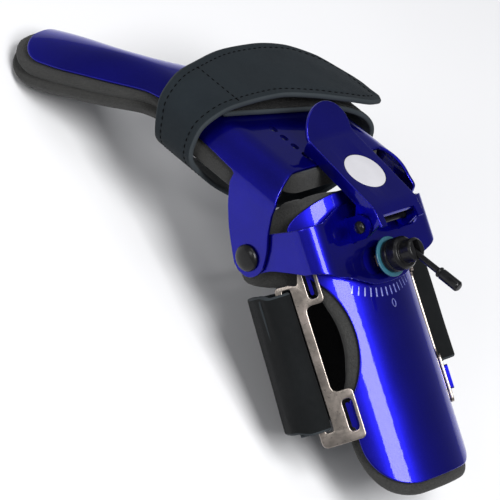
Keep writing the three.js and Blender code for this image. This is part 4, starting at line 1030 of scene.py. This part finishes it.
PLATE_WALL = {
    "rise": (-1.0, -0.8, -0.4, 0.0, 0.9, 1.9, 2.9),
    "left": (0.1, 0.6, 0.92, 1.05, 0.94, 0.6, 0.38),
    "right": (0.1, 0.6, 0.92, 1.05, 1.15, 1.42, 1.6),
    "front": (0.1, 0.6, 0.95, 1.25, 1.85, 2.35, 2.7),
}
PLATE_FRONT = {"across": (0, 0.35, 0.7, 1.0), "front": (0.97, 0.93, 0.8, 0.6)}
EDGE_TURN = (19.0, 33.0)
STRAIGHT_PAST = 10.0


def plate_front(x):
    return PLATE_REACH * smooth_table(PLATE_FRONT["across"], PLATE_FRONT["front"], np.abs(x) / PLATE_HALF)


def finger_middle(share):
    start = PLATE_REACH - 3
    y = start + (FINGER_REACH - start) * share
    bend = np.maximum(0, y - (PLATE_REACH - 4)) / (FINGER_REACH - (PLATE_REACH - 4))
    fall = FINGER_DROP * (0.4 * bend + 0.6 * bend * bend) * ease(-0.1, 0.12, bend)
    x = -FINGER_SIDE + (FINGER_SIDE - FINGER_ROOT) * (1 - ease(0, 0.7, share))
    return x, y, PLATE_TOP - fall


def finger_surface(share, offset):
    x, y, z = finger_middle(share)
    arched = z - FINGER_RISE * (offset / (FINGER_WIDTH / 2)) ** 2
    x = x + offset
    past = np.maximum(np.abs(x) - (PLATE_HALF - PLATE_CORNER), 0)
    near = np.minimum(past, STRAIGHT_PAST)
    slope = STRAIGHT_PAST / math.sqrt(PLATE_CORNER**2 - STRAIGHT_PAST**2)
    rooted = z - PLATE_CORNER + np.sqrt(PLATE_CORNER**2 - near**2) - slope * (past - near)
    return np.stack([x, y, lerp(rooted, arched, ease(0, 0.6, share))], -1)


def finger_half(share, margin):
    tip = FINGER_WIDTH / 2 + margin
    total = FINGER_REACH + margin - (PLATE_REACH - 3)
    half = lerp(FINGER_WAIST, FINGER_WIDTH, ease(0.12, 0.7, share)) / 2
    half = half + margin * 0.5 * ease(0, 0.45, share) + 1.2 * (1 - ease(0, 0.2, share))
    t = np.clip(1 - total * (1 - share) / tip, 0, 1)
    return half * np.where(t > 0, np.sqrt(np.maximum(1 - t**2.3, 0)) * 0.84 + 0.16, 1)


def finger_grid(margin, inset, start=0.0):
    """The finger extension's outer face, drawn in by an inset at its rim."""
    length = FINGER_REACH - (PLATE_REACH - 3)
    stretch = (length + margin) / length
    tip = 1 - (1 - np.linspace(0, 1, 26)) ** 1.9
    rows = np.concatenate([np.linspace(start, 0.8, 46)[:-1], 0.8 + (stretch - 0.8 - inset / length) * tip])
    share, side = rows[:, None], np.linspace(-1, 1, 33)[None, :]
    half = finger_half(share / stretch, margin) - inset
    return finger_surface(share + 0 * side, half * side)


def make_plate():
    section = arch_section(PLATE_HALF, PLATE_TOP, PLATE_CORNER, -HAND_ARM + METAL_ROUND, 34, 26, 40)
    x, z = section[:, 0], section[:, 1]
    rise = z / HAND_ARM
    corner = np.clip((z - (PLATE_TOP - PLATE_CORNER)) / PLATE_CORNER, 0, 1)
    turn = np.degrees(np.arcsin(corner))
    side = np.where(x < 0, smooth_table(PLATE_WALL["rise"], PLATE_WALL["left"], rise),
                    smooth_table(PLATE_WALL["rise"], PLATE_WALL["right"], rise))
    arm_rear = -HAND_ARM * np.where(rise < 0, arm_reach(rise, 1.0) * (1 + 0.05 * (1 + rise)), side)
    arm_front = HAND_ARM * smooth_table(PLATE_WALL["rise"], PLATE_WALL["front"], rise)
    top_rear = lerp(np.where(x < 0, -HAND_ARM * 0.3, -HAND_ARM * 1.25), PLATE_CUT,
                    np.clip((turn - 18) / 60, 0, 1))
    rear = lerp(arm_rear, top_rear, ease(11, 24, turn))
    long_edge = np.where(x > 0, plate_front(x), PLATE_REACH)
    front = lerp(np.minimum(arm_front, HAND_ARM * 3.6), long_edge, ease(*EDGE_TURN, turn))
    grid = band_grid(section, rear + METAL_ROUND, front - METAL_ROUND, 44)
    made = raw_object(sheet(grid, METAL, METAL_ROUND), HAND, [paint])
    finger = finger_grid(0, METAL_ROUND)
    finger[..., 2] -= 0.12 * (1 - ease(0, 0.06, np.linspace(0, 1, len(finger))))[:, None]
    combine(made, sheet(finger, METAL, METAL_ROUND)[:2], HAND, "UNION")
    holes = []
    for edge in (-1, 1):
        for k in range(HOLE_COUNT):
            outline = slot_outline(HOLE_LENGTH, HOLE_WIDTH, edge * (LEVER_HALF - METAL / 2),
                                   FIRST_HOLE + k * HOLE_PITCH, True)
            holes.append(prism(outline, PLATE_TOP - 4, PLATE_TOP + 4))
        holes.append(prism(circle(RIVET_SHANK / 2 + GAP), edge * PLATE_HALF - 4, edge * PLATE_HALF + 4, "x"))
    combine(made, joined(*holes), HAND)
    finish_piece(made, "painted_hand_plate", "hand", ["hand_plate"])


# Hand pad and the two layers of foam under the finger

SKIN_HALF = 27.0
SOFT_TIP = 1.2        # the foam's cut edge gives way round the fingertip
RESTING = 0.0001      # in metres: the tip lies flat on the surface
LAYER_GAP, LAYER_ROUND = 0.1, 1.5


def make_hand_pad():
    under = METAL + GAP
    foot = PLATE_TOP - HAND_PAD_DEPTH
    section = arch_section(PLATE_HALF - under, PLATE_TOP - under, PLATE_CORNER - under, foot + FOAM_ROUND,
                           6, 18, 30)
    x = section[:, 0]
    low = ease(PLATE_HALF * 0.5, PLATE_HALF * 0.95, np.abs(x))
    rear = lerp(HAND_PAD_REAR, HAND_PAD_REAR + 9, low) + FOAM_ROUND
    front = np.where(x > 0, plate_front(x) + 2.5, PLATE_REACH - 3.6) - FOAM_ROUND
    data = sheet(band_grid(section, rear, front, 30), HAND_PAD, FOAM_ROUND, 5)
    on_top = [kind == 0 and abs(data[0][face[0]][0]) < SKIN_HALF for face, kind in zip(data[1], data[3])]
    made = raw_object(data, HAND, [foam_dark, skin], np.array(on_top, int))
    layer = (FINGER_PAD - LAYER_GAP) / 2
    for k in range(2):
        grid = finger_grid(TIP_MARGIN - SOFT_TIP, LAYER_ROUND, -0.02)
        grid = grid - [0, 0, METAL + 4 * GAP + k * (layer + LAYER_GAP)]
        piece = raw_object(sheet(grid, layer, LAYER_ROUND)[:2], HAND, [foam_dark])
        mend_normals(piece.data, 0)
        b = bmesh.new()
        b.from_mesh(made.data)
        b.from_mesh(piece.data)
        b.to_mesh(made.data)
        b.free()
        bpy.data.objects.remove(piece)
    for v in made.data.vertices:
        v.co.z = max(v.co.z, RESTING)
    finish_piece(made, "hand_foam", "hand", ["hand_pad"], 60)


# Hand strap

# Stations round the hand: across in plate halves, up in palm depths, and the rear and front edges' shares
ROUTE = [
    (-0.72, 0.007, 1.1, 1.0), (-0.3, 0.007, 1.0, 0.98), (0.3, 0.007, 0.86, 0.93),
    (0.74, 0.0, 0.74, 0.86), (1.04, -0.08, 0.6, 0.78), (1.17, -0.22, 0.54, 0.74),
    (1.14, -0.45, 0.52, 0.73), (0.98, -0.75, 0.55, 0.76), (0.62, -0.95, 0.64, 0.81),
    (0.1, -1.0, 0.78, 0.87), (-0.38, -0.84, 0.92, 0.91), (-0.8, -0.61, 1.0, 0.9),
    (-1.05, -0.42, 1.05, 0.88), (-1.09, -0.25, 1.08, 0.9), (-1.05, -0.08, 1.08, 0.94),
    (-0.84, 0.07, 1.06, 0.98), (-0.5, 0.125, 1.04, 1.01), (-0.1, 0.15, 1.0, 1.035),
    (0.33, 0.155, 0.85, 1.02), (0.74, 0.135, 0.67, 0.96), (1.03, 0.1, 0.59, 0.83),
    (1.18, 0.07, 0.61, 0.68), (1.25, 0.055, 0.69, 0.56),
]


# Rows count the stations: the first ones lie under the flap and show loops, then the flap's inside does, and
# a seam crosses the flap
HAND_STATIONS, HAND_COLUMNS, HAND_WAVE = 330, 41, 0.1
INNER_ROWS, FLAP_ROWS, SEAM_ROW = 70, 210, 236
STITCH_INSET, GROOVE_DEPTH, GROOVE_WIDTH = 3.4, 0.22, 0.9


def make_hand_strap():
    points = [(a * PLATE_HALF, PLATE_TOP + WEBBING / 2 + u * PALM_DEPTH) for a, u, _, _ in ROUTE]
    places, at = catmull_rom(points, HAND_STATIONS)
    keys = np.arange(len(ROUTE))
    rear = STRAP_REAR * smooth_table(keys, [r for _, _, r, _ in ROUTE], at)
    front = (STRAP_REAR + HAND_STRAP) * smooth_table(keys, [f for _, _, _, f in ROUTE], at)
    columns = HAND_COLUMNS
    grid = strap_grid(places, rear + CLOTH_ROUND, front - CLOTH_ROUND, WEBBING / 2, columns, HAND_WAVE)
    # from the front edge to the rear one, so that the outer face looks away from the hand
    grid = grid[:, ::-1]
    rows = len(places)
    width = np.linalg.norm(grid[:, -1] - grid[:, 0], axis=1)
    from_rear = width[:, None] * np.linspace(0, 1, columns)[None, :]
    from_edge = np.minimum(from_rear, width[:, None] - from_rear)
    to_end = np.concatenate([np.linalg.norm(np.diff(places, axis=0), axis=1)[::-1].cumsum()[::-1], [0.0]])
    from_edge = np.minimum(from_edge, to_end[:, None])
    # the stitched line draws the cloth in
    groove = -GROOVE_DEPTH * np.exp(-((from_edge - STITCH_INSET) / GROOVE_WIDTH) ** 2)
    drawn = grid + grid_normals(grid) * groove[..., None]
    data = sheet(drawn, WEBBING, CLOTH_ROUND, 3)
    face_rows = np.repeat(np.arange(rows - 1), columns - 1)
    kinds = np.array(data[3])
    outer = np.flatnonzero(kinds == 0)
    inner = np.flatnonzero(kinds == 2)
    kinds[outer[face_rows < INNER_ROWS]] = 2
    kinds[inner[face_rows < FLAP_ROWS]] = 0
    made = raw_object(data, HAND, [hand_cloth, binding, loops], kinds, data[2])
    finish_piece(made, "hand_strap_cloth", "hand", ["hand_strap"], 0)

    def column_at(row, distance, far):
        share = distance / width[min(int(round(row)), rows - 1)]
        return (1 - share if far else share) * (columns - 1)

    end = rows - 1 - np.searchsorted(to_end[::-1], STITCH_INSET)
    lines = []
    for far in (False, True):
        lines.append([(r, column_at(r, STITCH_INSET, far)) for r in np.linspace(INNER_ROWS + 2, end, 60)])
    lines.append([(end, column_at(end, STITCH_INSET + (width[end] - 2 * STITCH_INSET) * t, False))
                  for t in np.linspace(0, 1, 8)])
    lines.append([(SEAM_ROW, column_at(SEAM_ROW, 1.0 + (width[SEAM_ROW] - 2.0) * t, False))
                  for t in np.linspace(0, 1, 12)])
    sewn = raw_object(stitches(drawn, lines), HAND, [thread])
    finish_piece(sewn, "hand_strap_stitches", "hand", (), 0)


# Lever

def hook_depth():
    """How far the hooks reach below the side walls to end just above the closed hand plate."""
    pitch, hand = math.radians(LEVER_PITCH), math.radians(HAND_PITCH)
    y = PIN_FORWARD + HOOK_REACH * math.cos(pitch)
    z = PIN_HEIGHT - HOOK_REACH * math.sin(pitch)
    above = y * math.sin(hand) + z * math.cos(hand) - PLATE_TOP
    return LEVER_HEIGHT - LEVER_WALL + above / math.cos(hand - pitch) - HOOK_CLEAR


def make_lever():
    tail, head = math.radians(TAIL_BEND), math.radians(HEAD_BEND)
    places = []
    y0, z0 = -TAIL_LENGTH * math.cos(tail), LEVER_HEIGHT - TAIL_LENGTH * math.sin(tail)
    for t in (0, 0.5, 0.85):
        places.append((lerp(y0, 0, t), lerp(z0, LEVER_HEIGHT, t), LEVER_HALF))
    places.append((0.35, LEVER_HEIGHT - 0.12, LEVER_HALF))
    for t in (0.05, 0.3, 0.6, 0.95):
        places.append((LEVER_REACH * t, LEVER_HEIGHT, LEVER_HALF))
    places.append((LEVER_REACH - 0.2, LEVER_HEIGHT + 0.15, LEVER_HALF))
    for k in range(1, 25):
        turn = math.pi / 2 * k / 24
        share = math.sin(turn) if k < 24 else 1
        run = HEAD_LENGTH * share
        half = LEVER_HALF * max(math.sqrt(max(1 - share * share, 0)), 0.06)
        places.append((LEVER_REACH + run * math.cos(head), LEVER_HEIGHT + run * math.sin(head), half))
    places = np.array(places)
    places[:, 2] -= METAL_ROUND
    share = np.linspace(-1, 1, 25)
    grid = np.stack([places[:, 2:3] * share, places[:, 0:1] + 0 * share, places[:, 1:2] + 0 * share], -1)
    made = raw_object(sheet(grid, METAL, METAL_ROUND), LEVER, [paint])
    lip, low, boss = LEVER_HEIGHT - 0.25, LEVER_HEIGHT - LEVER_WALL, EAR_WIDTH / 2 - 0.4
    depth = hook_depth()
    outline = [(boss * math.cos(a), boss * math.sin(a)) for a in np.linspace(math.pi, 2 * math.pi, 25)]
    hook = HOOK_REACH - HOOK_LENGTH
    outline += [(boss + 3, low), (hook - 0.6, low), (hook, low - 0.5), (hook + 0.6, low - depth + 1),
                (HOOK_REACH - 0.8, low - depth), (HOOK_REACH + 0.8, low - depth + 0.6),
                (LEVER_REACH - 0.2, low + 1.2), (LEVER_REACH, lip - 0.5), (LEVER_REACH - 0.5, lip), (0, lip),
                (-TAIL_LENGTH * 0.75, lip - TAIL_LENGTH * 0.75 * math.tan(tail))]
    for side in (-1, 1):
        start = LEVER_HALF - METAL if side > 0 else -LEVER_HALF
        combine(made, prism(outline, start, start + METAL, "x"), LEVER, "UNION")
    bore = prism(circle(PIN_RADIUS + GAP), -30, 30, "x")
    recess = prism(circle(LABEL_RADIUS + GAP, 0, LABEL_PLACE),
                   LEVER_HEIGHT - LABEL_THICK - GAP, LEVER_HEIGHT + 3)
    notch = prism([(-NOTCH_HALF, y0 - 5), (NOTCH_HALF, y0 - 5), (NOTCH_HALF, y0 + NOTCH_DEPTH),
                   (-NOTCH_HALF, y0 + NOTCH_DEPTH)], LEVER_HEIGHT - 9, LEVER_HEIGHT + 3)
    combine(made, joined(bore, recess, notch), LEVER)
    round_edges(made, 0.45, 3)
    finish_piece(made, "painted_lever", "flip_lever", ["lever"])


def make_label():
    profile = rounded([(0, LEVER_HEIGHT - LABEL_THICK), (LABEL_RADIUS, LEVER_HEIGHT - LABEL_THICK),
                       (LABEL_RADIUS, LEVER_HEIGHT), (0, LEVER_HEIGHT)], 0.18)
    data = placed(lathe(profile, 96), Matrix.Translation((0, LABEL_PLACE, 0)))
    made = raw_object(data, LEVER, [label_film])
    finish_piece(made, "round_label", "flip_lever", ["lever_label"])


# Turned parts

TO_X = Matrix.Rotation(math.radians(90), 4, "Y")
ON_STUD = Matrix.Translation((0, -LOCK_BACK, 0))
PIN_CROWN = 1.8


def make_pin():
    ear_face = LEVER_HALF + GAP + METAL + GAP
    half = [(0, ear_face + PIN_CROWN)]
    half += [(PIN_DOME * math.sin(a), ear_face + PIN_CROWN * math.cos(a))
             for a in np.linspace(0.15, math.pi / 2, 12)]
    half.append((PIN_RADIUS, ear_face))
    profile = [(r, -z) for r, z in half] + half[::-1]
    where = Matrix.Translation((0, PIN_FORWARD, PIN_HEIGHT)) @ TO_X
    made = raw_object(placed(lathe(profile), where), FOREARM, [gloss])
    finish_piece(made, "lever_hinge_pin", "wrist_yoke", ["lever_pin"])


def make_rivets():
    outer, inner = PLATE_HALF + GAP, YOKE_HALF - METAL - GAP
    head, shank, foot = RIVET_HEAD / 2, RIVET_SHANK / 2, RIVET_FOOT / 2
    profile = [(0, outer + RIVET_DOME)]
    for a in np.linspace(0.12, 1.36, 16):
        profile.append((head * math.sin(a), outer + 0.35 + (RIVET_DOME - 0.35) * math.cos(a)))
    profile += [(head, outer + 0.6), (head, outer + 0.2), (head - 0.3, outer), (shank, outer),
                (shank, inner), (foot, inner), (foot, inner - 1), (0, inner - 1)]
    to_left = Matrix.Rotation(math.radians(-90), 4, "Y")
    for turn, name, node in ((to_left, "wrist_rivet_left", "rivet_left"),
                             (TO_X, "wrist_rivet_right", "rivet_right")):
        made = raw_object(placed(lathe(profile, 72), turn), FOREARM, [gloss])
        finish_piece(made, name, "wrist_yoke", [node])


def make_washer():
    bore = STUD_RADIUS + GAP
    top = WASHER_BOTTOM + WASHER_THICK
    profile = rounded([(bore, WASHER_BOTTOM), (WASHER_RADIUS, WASHER_BOTTOM), (WASHER_RADIUS, top),
                       (bore, top)], 0.3)
    made = raw_object(placed(lathe(profile, 72), ON_STUD), FOREARM, [teal])
    finish_piece(made, "teal_washer", "lock", ["lock_washer"])


def make_knob():
    rim = KNOB_BOTTOM + KNOB_HEIGHT
    profile = rounded([
        (0, KNOB_BOTTOM), (KNOB_RADIUS - 0.3, KNOB_BOTTOM), (KNOB_RADIUS, KNOB_BOTTOM + 0.5),
        (KNOB_RADIUS, KNOB_BOTTOM + 2.6), (KNOB_RADIUS - 0.35, KNOB_BOTTOM + 3.0),
        (KNOB_RADIUS - 0.35, KNOB_BOTTOM + 3.5), (KNOB_RADIUS, KNOB_BOTTOM + 3.9), (KNOB_RADIUS, rim - 1.2),
        (KNOB_RADIUS - 1.1, rim), (BOSS_RADIUS, rim), (BOSS_RADIUS, BOSS_TOP - 0.9),
        (BOSS_RADIUS - 0.9, BOSS_TOP), (0, BOSS_TOP)], 0.3)
    made = raw_object(placed(lathe(profile, 96), ON_STUD), FOREARM, [gloss])
    hollow = placed(prism(circle(STUD_RADIUS + GAP), KNOB_BOTTOM - KNOB_HEIGHT,
                          KNOB_BOTTOM + KNOB_HEIGHT * 0.65 + GAP), ON_STUD)
    width = ROD_RADIUS + GAP
    reach = BOSS_RADIUS + 1
    middle = -LOCK_BACK - BOSS_RADIUS * 0.45
    channel = prism([(-width, middle - reach), (width, middle - reach), (width, middle + reach),
                     (-width, middle + reach)], KEY_PIVOT - 1.6, KEY_PIVOT + 4.4)
    combine(made, joined(hollow, channel), FOREARM)
    round_edges(made, 0.25, 2)
    finish_piece(made, "lock_knob_black", "lock", ["lock_knob"])


def make_key():
    profile = [(0, -ROD_RADIUS)] + [(ROD_RADIUS * math.sin(a), -ROD_RADIUS * math.cos(a))
                                    for a in np.linspace(0.25, math.pi / 2, 8)]
    start = KEY_LENGTH - GRIP_LENGTH
    r = GRIP_RADIUS
    profile += [(ROD_RADIUS, start), (r - 0.4, start), (r, start + 0.5), (r, start + 1.0),
                (r * 0.8, start + 1.3), (r * 0.8, start + 1.7), (r, start + 2.1), (r, KEY_LENGTH - 0.8),
                (r * 0.72, KEY_LENGTH), (0, KEY_LENGTH)]
    data = placed(lathe(rounded(profile, 0.2, 3), 48), turn_x(-90))
    made = raw_object(data, KEY, [gloss])
    finish_piece(made, "key_handle_black", "key", ["key_handle"])


make_shell()
make_forearm_pad()
make_buckle(-1, "zinc_buckle_left", "buckle_left")
make_buckle(1, "zinc_buckle_right", "buckle_right")
make_forearm_strap()
make_yoke()
make_plate()
make_hand_pad()
make_hand_strap()
make_lever()
make_label()
make_pin()
make_rivets()
make_washer()
make_knob()
make_key()
for node, metal in (("lock_stud", zinc_plate), ("lock_nut", yellow_zinc)):
    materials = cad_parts[node].data.materials
    materials.clear()
    materials.append(metal)


# Floor, light and camera

FLOOR_HALF = 6.0


def make_floor():
    mesh = bpy.data.meshes.new("floor")
    s = FLOOR_HALF
    mesh.from_pydata([(-s, -s, 0), (s, -s, 0), (s, s, 0), (-s, s, 0)], [], [(0, 1, 2, 3)])
    floor = new_object("floor", mesh)
    n = Nodes("pale_floor")
    n.colour(n.ramp(n.noise(3, 2), [(0.3, (0.66, 0.66, 0.67)), (0.7, (0.70, 0.70, 0.71))]))
    n.values(Roughness=0.9, Specular_IOR_Level=0.1)
    mesh.materials.append(n.material)


# Each light's name, place, target, size, power and upright direction, which for the key is the forearm's
LIGHTS = (
    ("key_softbox", (-0.45, -0.54, 1.43), (0, 0, 0.04), (0.50, 0.90), 30, (0, 0.936, 0.352)),
    ("left_bank", (-1.3, 0.25, 0.8), (0, 0, 0.04), (0.5, 0.8), 7, (0, 0, 1)),
    ("top_fill", (-0.1, 0.7, 1.7), (0, 0, 0), (0.9, 0.9), 6, (0, 0, 1)),
)


def area_light(name, place, target, size, power, up):
    data = bpy.data.lights.new(name, "AREA")
    data.shape = "RECTANGLE"
    data.size, data.size_y = size
    data.energy = power
    back = (Vector(place) - Vector(target)).normalized()
    right = Vector(up).cross(back).normalized()
    turn = Matrix((right, back.cross(right), back)).transposed().to_4x4()
    new_object(name, data).matrix_world = Matrix.Translation(place) @ turn


CAMERA_BACK = Vector((-0.7183, -0.2442, 0.6500))
CAMERA_UP = Vector((0.2085, 0.8172, 0.5374))
TARGET = Vector((-0.0202, -0.0048, 0.0372))
DISTANCE = 1.3
FRAME_WIDTH = 0.2273
SENSOR = 36
CLIP = (0.05, 20)
SKY_COLOUR, SKY_STRENGTH = (0.93, 0.95, 1.0, 1), 0.30


def make_camera():
    back = CAMERA_BACK.normalized()
    right = CAMERA_UP.cross(back).normalized()
    up = back.cross(right)
    data = bpy.data.cameras.new("camera")
    data.sensor_width = SENSOR
    data.lens = data.sensor_width * DISTANCE / FRAME_WIDTH
    data.clip_start, data.clip_end = CLIP
    camera = new_object("camera", data)
    camera.matrix_world = Matrix((
        (right.x, up.x, back.x, TARGET.x + back.x * DISTANCE),
        (right.y, up.y, back.y, TARGET.y + back.y * DISTANCE),
        (right.z, up.z, back.z, TARGET.z + back.z * DISTANCE),
        (0, 0, 0, 1)))
    bpy.context.scene.camera = camera


make_floor()
for light in LIGHTS:
    area_light(*light)
make_camera()

world = bpy.data.worlds.new("studio")
world.use_nodes = True
sky = world.node_tree.nodes["Background"]
sky.inputs["Color"].default_value = SKY_COLOUR
sky.inputs["Strength"].default_value = SKY_STRENGTH
bpy.context.scene.world = world
bpy.context.scene.view_settings.view_transform = "Standard"
